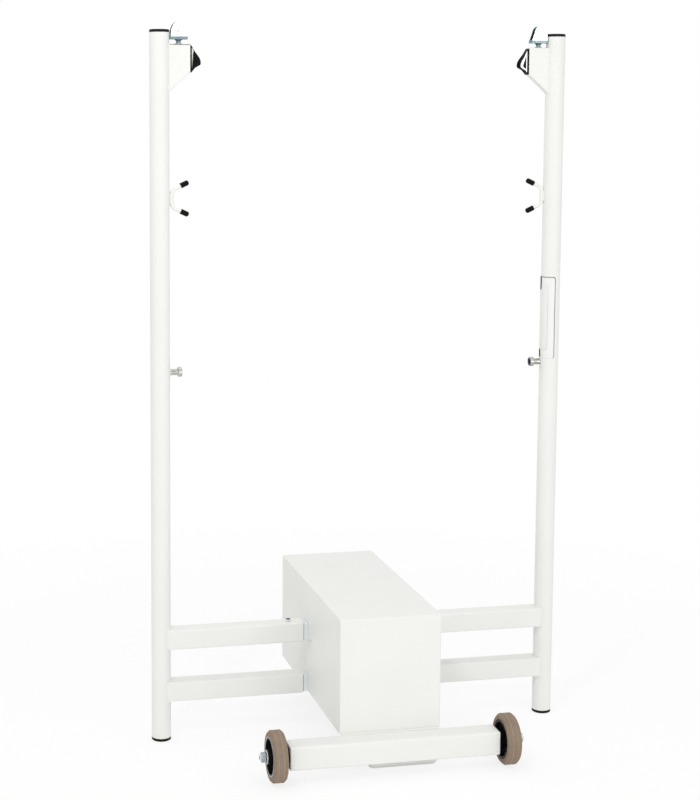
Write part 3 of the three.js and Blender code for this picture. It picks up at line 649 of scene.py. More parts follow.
def turned(name: str, profile: list[Pair], centre: Point, axis: Axis, steps: int = 64,
           edge: float = 0.0, angle: float = 35.0) -> bpy.types.Object:
    """Spins a profile of (radius, place along the axis) about an axis.

    Args:
        name: name of the piece.
        profile: corners in millimetres. It starts and ends on the axis, or is a closed ring.
        centre: point on the axis, from which the places are measured.
        axis: the axis.
        steps: faces round the piece.
        edge: width of the rounding of its edges.
        angle: least angle of an edge that is rounded or kept sharp, in degrees.

    Returns:
        The piece.
    """
    along = Vector(axis.value)
    out = Vector((0.0, 0.0, 1.0)) if axis is Axis.X else Vector((1.0, 0.0, 0.0))
    ring = profile[0][0] > 0
    points = [tuple(Vector(centre) + along * place + out * radius) for radius, place in profile]
    piece = chain(name, points, closed=ring)
    if ring:
        bpy.ops.mesh.delete(type="ONLY_FACE")
        bpy.ops.mesh.select_all(action="SELECT")
    bpy.ops.mesh.spin(steps=steps, angle=2 * math.pi, center=metres(centre), axis=along)
    clean()
    if edge > 0:
        soften(piece, edge, angle=angle)
    else:
        smooth(piece, angle)
    return piece


def plate(name: str, outline: list[Pair], low: float, high: float,
          axis: Axis = Axis.Y) -> bpy.types.Object:
    """Extrudes an outline between two planes.

    Args:
        name: name of the piece.
        outline: corners in the other two axes, in their order X, Y, Z.
        low: place of the first plane along the axis.
        high: place of the second plane.
        axis: the axis of the extrusion.

    Returns:
        The piece.
    """
    place = {Axis.X: lambda a, b: (low, a, b), Axis.Y: lambda a, b: (a, low, b),
             Axis.Z: lambda a, b: (a, b, low)}[axis]
    piece = chain(name, [place(*corner) for corner in outline], closed=True)
    extrude(Vector(axis.value) * (high - low) * MM)
    clean()
    return piece


def block(name: str, low: Point, high: Point) -> bpy.types.Object:
    """Adds a block between two corners.

    Args:
        name: name of the piece.
        low: its lowest corner.
        high: its highest corner.

    Returns:
        The piece.
    """
    clear()
    middle = (Vector(low) + Vector(high)) / 2
    size = Vector(high) - Vector(low)
    bpy.ops.mesh.primitive_cube_add(size=1.0, location=middle * MM, scale=size * MM)
    piece = bpy.context.object
    piece.name = name
    return settle(piece)


def round_picked(piece: bpy.types.Object, test: FaceTest, radius: float, segments: int) -> None:
    """Rounds the edges of a piece that pass a test.

    Args:
        piece: the piece.
        test: takes an edge's middle in millimetres and its direction.
        radius: radius of the rounding.
        segments: faces across it.
    """
    edit(piece, "EDGE")
    pick_edges(piece, test)
    bpy.ops.mesh.bevel(offset=radius * MM, segments=segments, affect="EDGES")
    bpy.ops.object.mode_set(mode="OBJECT")


def round_edges(piece: bpy.types.Object, axis: Axis, radius: float, segments: int = 4) -> None:
    """Rounds a block's edges that run along an axis.

    Args:
        piece: the block.
        axis: the axis.
        radius: radius of the corners.
        segments: faces across each.
    """
    along = Vector(axis.value)
    round_picked(piece, lambda middle, way: abs(way.dot(along)) > ALONG, radius, segments)


def bar(name: str, low: Point, high: Point, axis: Axis, radius: float, wall: float = 0.0,
        segments: int = 4) -> bpy.types.Object:
    """Makes a bar with round corners, hollow when it has a wall.

    Args:
        name: name of the piece.
        low: its lowest corner.
        high: its highest corner.
        axis: the way it runs.
        radius: radius of its corners.
        wall: its wall, or 0 for a solid bar.
        segments: faces across a corner.

    Returns:
        The piece.
    """
    piece = block(name, low, high)
    round_edges(piece, axis, radius, segments)
    if wall > 0:
        edit(piece)
        along = Vector(axis.value)
        pick_faces(piece, lambda middle, normal: abs(normal.dot(along)) > ALONG)
        bpy.ops.mesh.delete(type="FACE")
        bpy.ops.object.mode_set(mode="OBJECT")
        apply(piece, "SOLIDIFY", thickness=wall * MM, offset=-1.0, use_even_offset=True)
    return piece


def cut(piece: bpy.types.Object, cutter: bpy.types.Object, operation: str = "DIFFERENCE") -> None:
    """Cuts a piece with another, which is then removed.

    Args:
        piece: the piece.
        cutter: what cuts it.
        operation: DIFFERENCE, INTERSECT or UNION.
    """
    apply(piece, "BOOLEAN", object=cutter, operation=operation, solver="EXACT")
    bpy.data.objects.remove(cutter, do_unlink=True)
    edit(piece, "VERT")
    bpy.ops.mesh.select_all(action="SELECT")
    bpy.ops.mesh.remove_doubles(threshold=MERGE_AFTER_CUT)
    bpy.ops.object.mode_set(mode="OBJECT")


def split(piece: bpy.types.Object, place: Point, axis: Axis) -> None:
    """Cuts a line into a piece's faces where a plane crosses them.

    Args:
        piece: the piece.
        place: a point of the plane in millimetres.
        axis: the plane's normal.
    """
    edit(piece)
    bpy.ops.mesh.select_all(action="SELECT")
    bpy.ops.mesh.bisect(plane_co=metres(place), plane_no=axis.value)
    bpy.ops.object.mode_set(mode="OBJECT")


def bead(name: str, points: list[Point], radius: float, closed: bool = True) -> bpy.types.Object:
    """Lays a weld bead along a route, uneven as a hand-made one is.

    Args:
        name: name of the piece.
        points: the route's points.
        radius: mean radius of the bead.
        closed: whether the route closes.

    Returns:
        The bead as a mesh.
    """
    clear()
    bpy.ops.curve.primitive_nurbs_path_add()
    piece = bpy.context.object
    piece.name = name
    curve = piece.data
    curve.splines.remove(curve.splines[0])
    spline = curve.splines.new("POLY")
    spline.points.add(len(points) - 1)
    for index, (spot, point) in enumerate(zip(spline.points, points)):
        spot.co = (*metres(point), 1.0)
        spot.radius = 1.0 + 0.13 * math.sin(2.1 * index) + 0.07 * math.sin(5.7 * index + 1.0)
    spline.use_cyclic_u = closed
    curve.bevel_depth = radius * MM
    curve.bevel_resolution = 2
    curve.use_fill_caps = True
    bpy.ops.object.convert(target="MESH")
    piece = bpy.context.object
    settle(piece)
    smooth(piece, 60.0)
    return piece


def join(name: str, pieces: list[bpy.types.Object]) -> bpy.types.Object:
    """Joins pieces into the first one.

    Args:
        name: name of the result.
        pieces: the pieces.

    Returns:
        The joined piece.
    """
    clear()
    for piece in pieces:
        piece.select_set(True)
    bpy.context.view_layer.objects.active = pieces[0]
    bpy.ops.object.join()
    pieces[0].name = name
    return pieces[0]


def route(corners: list[Point], step: float) -> list[Point]:
    """Fills a closed route with points.

    Args:
        corners: the route's corners.
        step: greatest distance between points.

    Returns:
        The points.
    """
    points = []
    for start, end in zip(corners, corners[1:] + corners[:1]):
        way = Vector(end) - Vector(start)
        count = max(1, round(way.length / step))
        points += [tuple(Vector(start) + way * index / count) for index in range(count)]
    return points


def arc(centre: Pair, radius: float, start: float, end: float, steps: int) -> list[Pair]:
    """Returns points on an arc.

    Args:
        centre: its centre.
        radius: its radius.
        start: first angle in degrees.
        end: last angle.
        steps: stretches along it.

    Returns:
        The points, both ends included.
    """
    angles = [math.radians(start + (end - start) * index / steps) for index in range(steps + 1)]
    return [(centre[0] + radius * math.cos(angle), centre[1] + radius * math.sin(angle))
            for angle in angles]


def paint(piece: bpy.types.Object, finish: Finish) -> None:
    """Gives a piece its finish."""
    piece.data.materials.clear()
    piece.data.materials.append(finish.material())


def paint_faces(piece: bpy.types.Object, finish: Finish, test: FaceTest) -> None:
    """Gives the faces that pass a test another finish.

    Args:
        piece: the piece, which has its main finish.
        finish: the other finish.
        test: takes a face's middle in millimetres and its normal.
    """
    piece.data.materials.append(finish.material())
    index = len(piece.data.materials) - 1
    for face in piece.data.polygons:
        if test(face.center / MM, face.normal):
            face.material_index = index


def stand(piece: bpy.types.Object, body: str, *nodes: str) -> None:
    """Lets a finished piece ride on a body in place of CAD nodes.

    Args:
        piece: the piece.
        body: name of the body.
        nodes: the CAD nodes that it stands for.
    """
    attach(piece, body)
    if nodes:
        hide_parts(*nodes)
    LOG.info("%s: %d faces on %s", piece.name, len(piece.data.polygons), body)


def moved_copy(piece: bpy.types.Object, name: str, about: Point, move: Matrix) -> bpy.types.Object:
    """Copies a piece and turns or mirrors the copy about a point.

    Args:
        piece: the piece to copy.
        name: name of the copy.
        about: the point in millimetres.
        move: the turn or the mirroring.

    Returns:
        The copy, with its own mesh.
    """
    copy = piece.copy()
    copy.data = piece.data.copy()
    copy.name = name
    bpy.context.scene.collection.objects.link(copy)
    spot = Matrix.Translation(metres(about))
    copy.data.transform(spot @ move @ spot.inverted())
    return copy


def turned_copy(piece: bpy.types.Object, name: str, about: Pair) -> bpy.types.Object:
    """Copies a piece, turned half round about an upright line.

    Args:
        piece: the piece to copy.
        name: name of the copy.
        about: X and Y of the line in millimetres.

    Returns:
        The copy, with its own mesh.
    """
    return moved_copy(piece, name, (*about, 0.0), Matrix.Rotation(math.pi, 4, "Z"))


def both_sides(piece: bpy.types.Object, stem: str, body: str, nodes: list[str], about: Pair) -> None:
    """Stands a left piece and its turned copy on their bodies.

    Args:
        piece: the left piece.
        stem: name that follows the side's name.
        body: name of the body after the side's name, or a whole body name.
        nodes: names of the CAD nodes after the side's name.
        about: X and Y of the line that the copy is turned about.
    """
    twin = turned_copy(piece, f"{Side.RIGHT.value}_{stem}", about)
    for side, made in ((Side.LEFT, piece), (Side.RIGHT, twin)):
        made.name = f"{side.value}_{stem}"
        whole = body if body == "base" else f"{side.value}_{body}"
        stand(made, whole, *[f"{side.value}_{node}" for node in nodes])


# The post frames


@dataclass
class PostFrame:
    """A post with all that is welded, pressed or screwed to it, made at the left side."""

    spacing: float = 890.0
    plane: float = POST_PLANE
    height: float = 1550.0
    radius: float = 21.2
    wall: float = 2.0
    cap_lip: float = 6.0
    foot_lip: float = 6.0
    plug: float = 18.9
    plug_lead: Pair = (0.8, 2.0)
    cap_plug: float = 22.0
    foot_plug: float = 26.0
    gap: float = 0.3
    rail_end: float = 317.2
    rail_size: Pair = RAIL_SIZE
    rail_tops: Pair = RAIL_TOPS
    rail_corner: float = 3.0
    rail_weld: float = 1.7
    screw_inset: float = 31.0
    body: str = "frame"

    def x(self, local: float) -> float:
        """Returns the frame's X of a distance from the left post's axis towards the box."""
        return local - self.spacing / 2

    def at(self, local: float, up: float) -> Point:
        """Returns a point in the posts' plane."""
        return (self.x(local), self.plane, up)

    def place(self, piece: bpy.types.Object, stem: str, *nodes: str) -> None:
        """Stands a piece and its right copy in place of their CAD nodes."""
        both_sides(piece, stem, self.body, list(nodes), (0.0, self.plane))

    def post_cutter(self, margin: float = 0.0) -> bpy.types.Object:
        """Returns a cylinder round the post that cuts what is welded to it."""
        reach = self.radius + margin
        low, high = -20.0, self.height + 50.0
        return turned("cutter", [(0, low), (reach, low), (reach, high), (0, high)],
                      self.at(0, 0), Axis.Z, 96)

    def build(self) -> None:
        """Builds the tube, its cap and foot and the rails."""
        inner = self.radius - self.wall
        low, high = self.foot_lip + self.gap, self.height - self.cap_lip - self.gap
        tube = turned("post", [(inner, low), (self.radius, low), (self.radius, high), (inner, high)],
                      self.at(0, 0), Axis.Z, 96, edge=0.5)
        paint(tube, PAINT)
        self.place(tube, "post", "post_tube")

        seat = self.height - self.cap_lip
        low = seat - self.cap_plug
        thin, lead = self.plug - self.plug_lead[0], self.plug_lead[1]
        cap = turned("cap", [
            (0, low), (thin, low), (self.plug, low + lead), (self.plug, seat),
            (self.radius, seat), (self.radius, self.height - 1.6),
            *arc((self.radius - 1.8, self.height - 2.1), 1.8, 20, 80, 4),
            (self.radius - 6, self.height - 0.1), (0, self.height),
        ], self.at(0, 0), Axis.Z, 96, edge=0.25, angle=40)
        paint(cap, PLASTIC)
        self.place(cap, "cap", "top_cap")

        top = self.foot_lip
        high = top + self.foot_plug
        foot = turned("foot", [
            (0, 0.6), (self.radius - 6, 0.6), (self.radius - 5.2, 0), (self.radius - 1.2, 0),
            *arc((self.radius - 1.3, 1.3), 1.3, -70, 0, 4), (self.radius, top), (self.plug, top),
            (self.plug, high - lead), (thin, high), (0, high),
        ], self.at(0, 0), Axis.Z, 96, edge=0.25, angle=40)
        paint(foot, PLASTIC)
        self.place(foot, "foot", "post_foot")
        for rail_top, stem in zip(self.rail_tops, ("upper_rail", "lower_rail")):
            self.rail(rail_top, stem)
        self.lock_screw()

    def saddle(self, half: float, reach: float) -> list[Pair]:
        """Returns the line where a flat of half width meets the post, as (x, y) pairs.

        Args:
            half: half the width across the post.
            reach: radius that the line keeps from the post's axis.

        Returns:
            The pairs from one side to the other.
        """
        turns = math.asin(half / reach)
        return [(reach * math.cos(turn), reach * math.sin(turn))
                for turn in (turns * (index / 6 - 1) for index in range(13))]

    def rail(self, top: float, stem: str) -> None:
        """Builds a rail and the weld that joins it to the post.

        Args:
            top: height of its top.
            stem: name of the node after the side's name.
        """
        depth, height = self.rail_size
        low = top - height
        tube = bar(stem, (self.x(0), self.plane - depth / 2, low),
                   (self.x(self.rail_end), self.plane + depth / 2, top),
                   Axis.X, self.rail_corner, self.wall, 5)
        cut(tube, self.post_cutter(self.gap))
        soften(tube, 0.45, 2, 50.0)
        reach = self.radius + 0.9
        line = self.saddle(depth / 2 - 0.6, reach)
        upper = [(self.x(a), self.plane + b, top - 0.1) for a, b in line]
        lower = [(self.x(a), self.plane + b, low + 0.1) for a, b in reversed(line)]
        weld = bead("weld", route(upper + lower, WELD_STEP), self.rail_weld)
        body = join(stem, [tube, weld])
        paint(body, PAINT)
        self.place(body, stem, stem)

    def lock_screw(self) -> None:
        """Builds the socket screw that locks the frame on its stub."""
        top = self.rail_tops[0]
        spot = self.at(self.rail_end - self.screw_inset, 0)
        head = top + self.gap
        socket = 2.6
        screw = turned("lock_screw", [
            (0, top - 2.0), (4.0, top - 2.0), (4.0, head), (5.2, head), (5.2, head + 4.9),
            (4.7, head + 5.5), (socket + 0.3, head + 5.5), (socket, head + 5.2), (socket, head + 2.5),
            (0, head + 1.8),
        ], spot, Axis.Z, 48, edge=0.15)
        paint(screw, ZINC)

        def dark(middle: Vector, normal: Vector) -> bool:
            """Tells the screw's end face and socket, which get painted shade."""
            away = math.hypot(middle.x - spot[0], middle.y - spot[1])
            return middle.z > head + 5.0 or middle.z > head and away < socket + 0.2

        # Painted shade on the head's top face and in its socket.
        paint_faces(screw, ZINC_DEEP_SHADE, dark)
        self.place(screw, "lock_screw", "lock_screw")


@dataclass
class HeadFittings(PostFrame):
    """The bracket at a post's head with the cord guide; the jam cleat on its end is built by JamCleat.
    """

    top: float = 1519.0
    reach: float = 43.8
    end_height: float = 59.0
    root_height: float = 98.0
    root: float = 4.0
    thickness: float = 20.0
    edge: float = 1.1
    bracket_weld: float = 1.35
    guide_local: float = 41.15
    base: Pair = (1529.0, 1535.5)
    base_length: float = 37.5
    guide_width: float = 18.0
    cheek: float = 2.0
    cheek_height: float = 30.0
    sheave_up: float = 1548.1
    sheave_half: float = 6.3
    sheave_radius: float = 11.5

    def build(self) -> None:
        """Builds all the head's fittings."""
        self.bracket()
        self.stud()
        self.yoke()
        self.sheave()
        self.pin()

    def low_at(self, local: float) -> float:
        """Returns the height of the bracket's underside at a distance from the post's axis."""
        slope = (self.root_height - self.end_height) / self.reach
        return self.top - self.root_height + (local - self.radius) * slope

    def bracket(self) -> None:
        """Builds the folded bracket with its weld, with painted shade on its rounded long edges and
        along the top of its front face.
        """
        root, end = self.root, self.radius + self.reach
        half = self.thickness / 2
        outline = [(self.x(root), self.low_at(root)), (self.x(end), self.low_at(end)),
                   (self.x(end), self.top), (self.x(root), self.top)]
        shell = plate("bracket", outline, self.plane - half, self.plane + half)
        cut(shell, self.post_cutter(self.gap))
        soften(shell, self.edge, 3, 40.0)
        # The faces are split at this height, and the strip above it on the front face takes painted
        # shade.
        shade_strip_bottom = self.top - 1.9
        split(shell, (0.0, 0.0, shade_strip_bottom), Axis.Z)
        line = self.saddle(half - 0.4, self.radius + 0.7)
        upper = [(self.x(a), self.plane + b, self.top - 0.4) for a, b in line]
        lower = [(self.x(a), self.plane + b, self.low_at(a) + 0.5) for a, b in reversed(line)]
        weld = bead("weld", route(upper + lower, 2.4), self.bracket_weld)
        body = join("bracket", [shell, weld])
        paint(body, PAINT)
        start = self.x(self.radius + 2.2)

        def thin(middle: Vector, normal: Vector) -> bool:
            """Tells the rounded long edges and the top strip of the front face, which get painted shade.
            """
            at_edge = abs(middle.y - self.plane) > half - self.edge - 0.2 and abs(normal.y) > 0.2
            rounded = 0.12 < abs(normal.z) < 0.97
            return middle.x > start and at_edge and (rounded or middle.z > shade_strip_bottom and normal.y < 0.0)

        # Painted shade on the rounded long edges and along the top of the front face.
        paint_faces(body, PAINTED_EDGE_SHADE, thin)
        self.place(body, "head_bracket", "head_bracket")

    def stud(self) -> None:
        """Builds the waisted stud between the bracket and the guide."""
        low = self.top + self.gap
        high = self.base[0] - self.gap
        stud = turned("guide_stud", [
            (0, self.top - 7), (3.4, self.top - 7), (4, self.top - 6.4), (4, low), (8.8, low),
            (8.2, low + 0.7), (6.6, low + 1.3), (5.4, low + 2.0), (5.0, low + 3.2), (5.0, high - 3.8),
            (5.4, high - 2.9), (8.0, high - 0.6), (8.2, high), (4, high), (4, self.base[1] - 2.3),
            (0, self.base[1] - 2.3),
        ], self.at(self.guide_local, 0), Axis.Z, 48, edge=0.2)
        # Painted shade: the stud takes the dark copy of the zinc plate.
        paint(stud, ZINC_PAINTED_SHADE)
        paint_faces(stud, PAINT, lambda middle, normal: low < middle.z < low + 2.0)
        # Painted shade: a dark line where the stud's foot meets the bracket.
        paint_faces(stud, PAINTED_EDGE_SHADE, lambda middle, normal: low - 0.1 < middle.z < low + 0.5)
        self.place(stud, "guide_stud", "guide_stud")

    def fin(self) -> list[Pair]:
        """Returns the guide's outline: a low base, and a fin that is rounded towards the post."""
        lip = 1.0
        start = self.radius + 1.2 + lip
        length = self.base_length - 2 * lip
        root, floor = self.base

        def spot(along: float, up: float) -> Pair:
            """Returns a point from its shares of the cheek's length and height."""
            return (self.x(start + along * length), floor + up * self.cheek_height)

        def bend(first: Pair, control: Pair, last: Pair) -> list[Pair]:
            """Returns points on a curve between two points."""
            steps = 10
            shares = [index / steps for index in range(1, steps + 1)]
            return [tuple((1 - t) ** 2 * first[k] + 2 * t * (1 - t) * control[k] + t * t * last[k]
                          for k in (0, 1)) for t in shares]

        low, high = self.x(start - lip), self.x(start + length + lip)
        outline = [(low, floor), (low, root), (high, root), (high, floor),
                   (self.x(start + length), floor)]
        knee, crown = spot(0.86, 0.45), spot(0.55, 1.0)
        outline += [knee, *bend(knee, spot(0.76, 1.0), crown)]
        front, shoulder = spot(0.36, 1.0), spot(0.0, 0.3)
        return outline + [front, *bend(front, spot(0.1, 0.92), shoulder), (self.x(start), floor)]

    def yoke(self) -> None:
        """Builds the guide's base and its two cheeks, with painted shade: bright zinc only on the
        cheeks' outer faces, dark zinc on the base, the edges and between the cheeks.
        """
        half = self.guide_width / 2
        inner = half - self.cheek
        base = plate("yoke", self.fin(), self.plane - half, self.plane + half)
        floor = self.base[1]
        slot = block("slot", (self.x(self.radius - 3), self.plane - inner, floor),
                     (self.x(self.radius + self.base_length + 5), self.plane + inner, floor + 40))
        cut(base, slot)
        hole = turned("hole", [(0, -20), (3.3, -20), (3.3, 20), (0, 20)],
                      self.at(self.guide_local, self.sheave_up), Axis.Y, 32)
        cut(base, hole)
        soften(base, 0.4, 2, 50.0)
        split(base, (0.0, 0.0, floor - 0.4), Axis.Z)
        # Painted shade: the yoke is dark zinc except the cheeks' outer faces above the base.
        paint(base, ZINC_PAINTED_SHADE)
        paint_faces(base, ZINC, lambda middle, normal: abs(middle.y - self.plane) > half - 0.1
                    and middle.z > floor - 0.4)
        self.place(base, "guide_yoke", "guide_yoke")

    def sheave(self) -> None:
        """Builds the grooved sheave inside the guide."""
        half, rim = self.sheave_half, self.sheave_radius
        groove = [(rim - 3.4 * math.sin(turn), -4.9 * math.cos(turn))
                  for turn in (math.pi * index / 12 for index in range(13))]
        side = [(3.25, half), (5.6, half), (6.0, half - 0.5), (9.6, half - 0.5), (10.0, half),
                (rim, half)]
        profile = [(radius, -along) for radius, along in side] + groove + side[::-1]
        sheave = turned("guide_sheave", profile, self.at(self.guide_local, self.sheave_up),
                        Axis.Y, 64, edge=0.2, angle=40)
        paint(sheave, NYLON)
        both_sides(sheave, "guide_sheave", "sheave", ["guide_sheave"], (0.0, self.plane))

    def pin(self) -> None:
        """Builds the rivet that the sheave turns on."""
        side = self.guide_width / 2 + self.gap
        dome = [(3.0, side), (4.6, side), (4.6, side + 0.45), (4.0, side + 1.0), (2.8, side + 1.36),
                (1.4, side + 1.5), (0, side + 1.5)]
        profile = [(radius, -along) for radius, along in reversed(dome)] + dome
        pin = turned("guide_pin", profile, self.at(self.guide_local, self.sheave_up), Axis.Y, 40)
        paint(pin, ZINC)
        self.place(pin, "guide_pin", "guide_pin")


@dataclass
class JamCleat(PostFrame):
    """The cleat on the bracket's end with its toothed groove and its two screws."""

    back: float = 65.3
    bottom: float = 1459.8
    length: float = 57.0
    width: float = 18.0
    body_width: float = 15.8
    rim: float = 1.6
    height: float = 23.0
    base: float = 3.0
    cheek: float = 3.1
    groove_root: float = 0.8
    tooth_angle: float = 32.0
    tooth_pitch: float = 5.2
    tooth_width: float = 2.3
    tooth_depth: float = 0.75
    cleat_screw_inset: float = 6.0
    outline: tuple[Pair, ...] = (
        (0.012, 0.01), (0.012, 0.13), (0.035, 0.19), (0.17, 0.47), (0.235, 0.76), (0.27, 0.92),
        (0.30, 0.985), (0.335, 1.0), (0.37, 1.0), (0.43, 0.98), (0.50, 0.93), (0.58, 0.81), (0.66, 0.67),
        (0.79, 0.42), (0.95, 0.19), (0.988, 0.13), (0.988, 0.01),
    )
    pocket: tuple[Pair, ...] = ((0.745, 0.265), (0.36, 0.575), (0.29, 0.55), (0.215, 0.25))
    pocket_depth: float = 2.6
    panel: tuple[Pair, ...] = (
        (0.905, 0.165), (0.905, 0.20), (0.75, 0.385), (0.655, 0.49), (0.535, 0.705), (0.393, 0.825),
        (0.298, 0.825), (0.23, 0.60), (0.167, 0.305), (0.08, 0.165),
    )
    panel_depth: float = 0.35
    # Outline of the shallow strip that takes painted highlight.
    glare_strip: tuple[Pair, ...] = (
        (0.90, 0.14), (0.885, 0.24), (0.80, 0.31), (0.60, 0.28), (0.40, 0.24), (0.16, 0.20),
        (0.16, 0.14),
    )
    glare_strip_depth: float = 0.2

    def spot(self, along: float, out: float) -> Pair:
        """Returns X and Z of a point from its shares of the cleat's length and height."""
        return (self.x(self.back + out * self.height), self.bottom + along * self.length)

    def groove(self, extra: float) -> bpy.types.Object:
        """Builds the wedge that opens the groove.

        Args:
            extra: how much deeper than the groove it cuts, for the teeth.

        Returns:
            The wedge.
        """
        def wall(out: float, side: int) -> Pair:
            """Returns a point of the groove's wall at a distance from the cleat's back."""
            share = (out - self.base) / (self.height - self.base)
            half = self.groove_root + (self.width / 2 - self.cheek - self.groove_root) * share + extra
            return (self.x(self.back + out), self.plane + side * half)

        low, high = self.base - extra, self.height + 2
        corners = [wall(low, -1), wall(high, -1), wall(high, 1), wall(low, 1)]
        return plate("groove", corners, self.bottom - 2, self.bottom + self.length + 2, Axis.Z)

    def teeth(self) -> bpy.types.Object:
        """Returns the slanted slabs that cut the teeth, trimmed to the groove's walls."""
        turn = math.radians(self.tooth_angle)
        reach = self.height / math.cos(turn) + 2
        climb = self.height * math.tan(turn)
        count = int((self.length - climb * 0.8) / self.tooth_pitch)
        slabs = []
        for index in range(1, count):
            foot = (self.x(self.back), self.bottom + index * self.tooth_pitch)
            corners = []
            for along, up in ((0, 0), (reach, 0), (reach, self.tooth_width), (0, self.tooth_width)):
                corners.append((foot[0] + along * math.cos(turn) - up * math.sin(turn),
                                foot[1] + along * math.sin(turn) + up * math.cos(turn)))
            slabs.append(plate("slab", corners, self.plane - self.width, self.plane + self.width))
        teeth = join("teeth", slabs)
        cut(teeth, self.groove(self.tooth_depth), "INTERSECT")
        return teeth

    def build(self) -> None:
        """Builds the cleat and its screws."""
        half = self.body_width / 2
        corners = [self.spot(along, out) for along, out in self.outline]
        body = plate("jam_cleat", corners, self.plane - half, self.plane + half)
        edit(body, "EDGE")
        pick_edges(body, lambda middle, way: abs(way.y) < NEAR and middle.x > self.x(self.back) + 1.0)
        bpy.ops.mesh.bevel(offset=self.rim * MM, segments=4, affect="EDGES", clamp_overlap=True)
        bpy.ops.object.mode_set(mode="OBJECT")
        near, far = self.plane - self.width / 2, self.plane + self.width / 2
        flange = block("flange", (self.x(self.back), near, self.bottom),
                       (self.x(self.back + self.base), far, self.bottom + self.length))
        soften(flange, 0.7, 2, 60.0)
        cut(body, flange, "UNION")
        # Shallow recesses: a polished panel on one side, a strip for painted highlight on the other, and
        # the pocket on both.
        for side, shares, depth, radius in (
            (1, self.panel, self.panel_depth, 0.4), (-1, self.glare_strip, self.glare_strip_depth, 0.3),
            (1, self.pocket, self.pocket_depth, 1.4), (-1, self.pocket, self.pocket_depth, 1.4),
        ):
            outer = self.plane + side * (half + 2)
            inner = self.plane + side * (half - depth)
            outline = [self.spot(along, out) for along, out in shares]
            hollow = plate("hollow", outline, min(outer, inner), max(outer, inner))
            round_edges(hollow, Axis.Y, radius, 3)
            cut(body, hollow)
        cut(body, self.groove(0.0))
        cut(body, self.teeth())
        inset = self.cleat_screw_inset
        levels = (self.bottom + inset, self.bottom + self.length - inset)
        for level in levels:
            well = turned("well", [(0, -4), (2.3, -4), (2.3, 1.8), (4.0, 1.8), (4.0, 30), (0, 30)],
                          self.at(self.back, level), Axis.X, 32)
            cut(body, well)
        smooth(body, 32.0)
        paint(body, NYLON)
        # The panel gets polished nylon; the strip on the near side gets painted highlight.
        for side, depth, finish in (
            (1, self.panel_depth, NYLON_PANEL), (-1, self.glare_strip_depth, NYLON_PAINTED_GLARE),
        ):
            level = self.plane + side * (half - depth)
            paint_faces(body, finish, lambda middle, normal: side * normal.y > 0.98
                        and abs(middle.y - level) < 0.05)
        self.place(body, "jam_cleat", "jam_cleat")
        for level, stem in zip(levels, ("lower", "upper")):
            self.screw(level, stem)

    def screw(self, level: float, stem: str) -> None:
        """Builds a pan-head screw with a hexagon socket.

        Args:
            level: height of its axis.
            stem: lower or upper.
        """
        seat = self.back + 2.1
        screw = turned("cleat_screw", [
            (0, seat - 12), (1.0, seat - 12), (2.0, seat - 10), (2.0, seat), (3.7, seat),
            (3.7, seat + 1.2), (3.2, seat + 1.9), (2.2, seat + 2.4), (1.3, seat + 2.4),
            (1.25, seat + 1.2), (0, seat + 0.9),
        ], self.at(0, level), Axis.X, 36, edge=0.1)
        paint(screw, STEEL)
        self.place(screw, f"cleat_screw_{stem}", f"cleat_screw_{stem}")


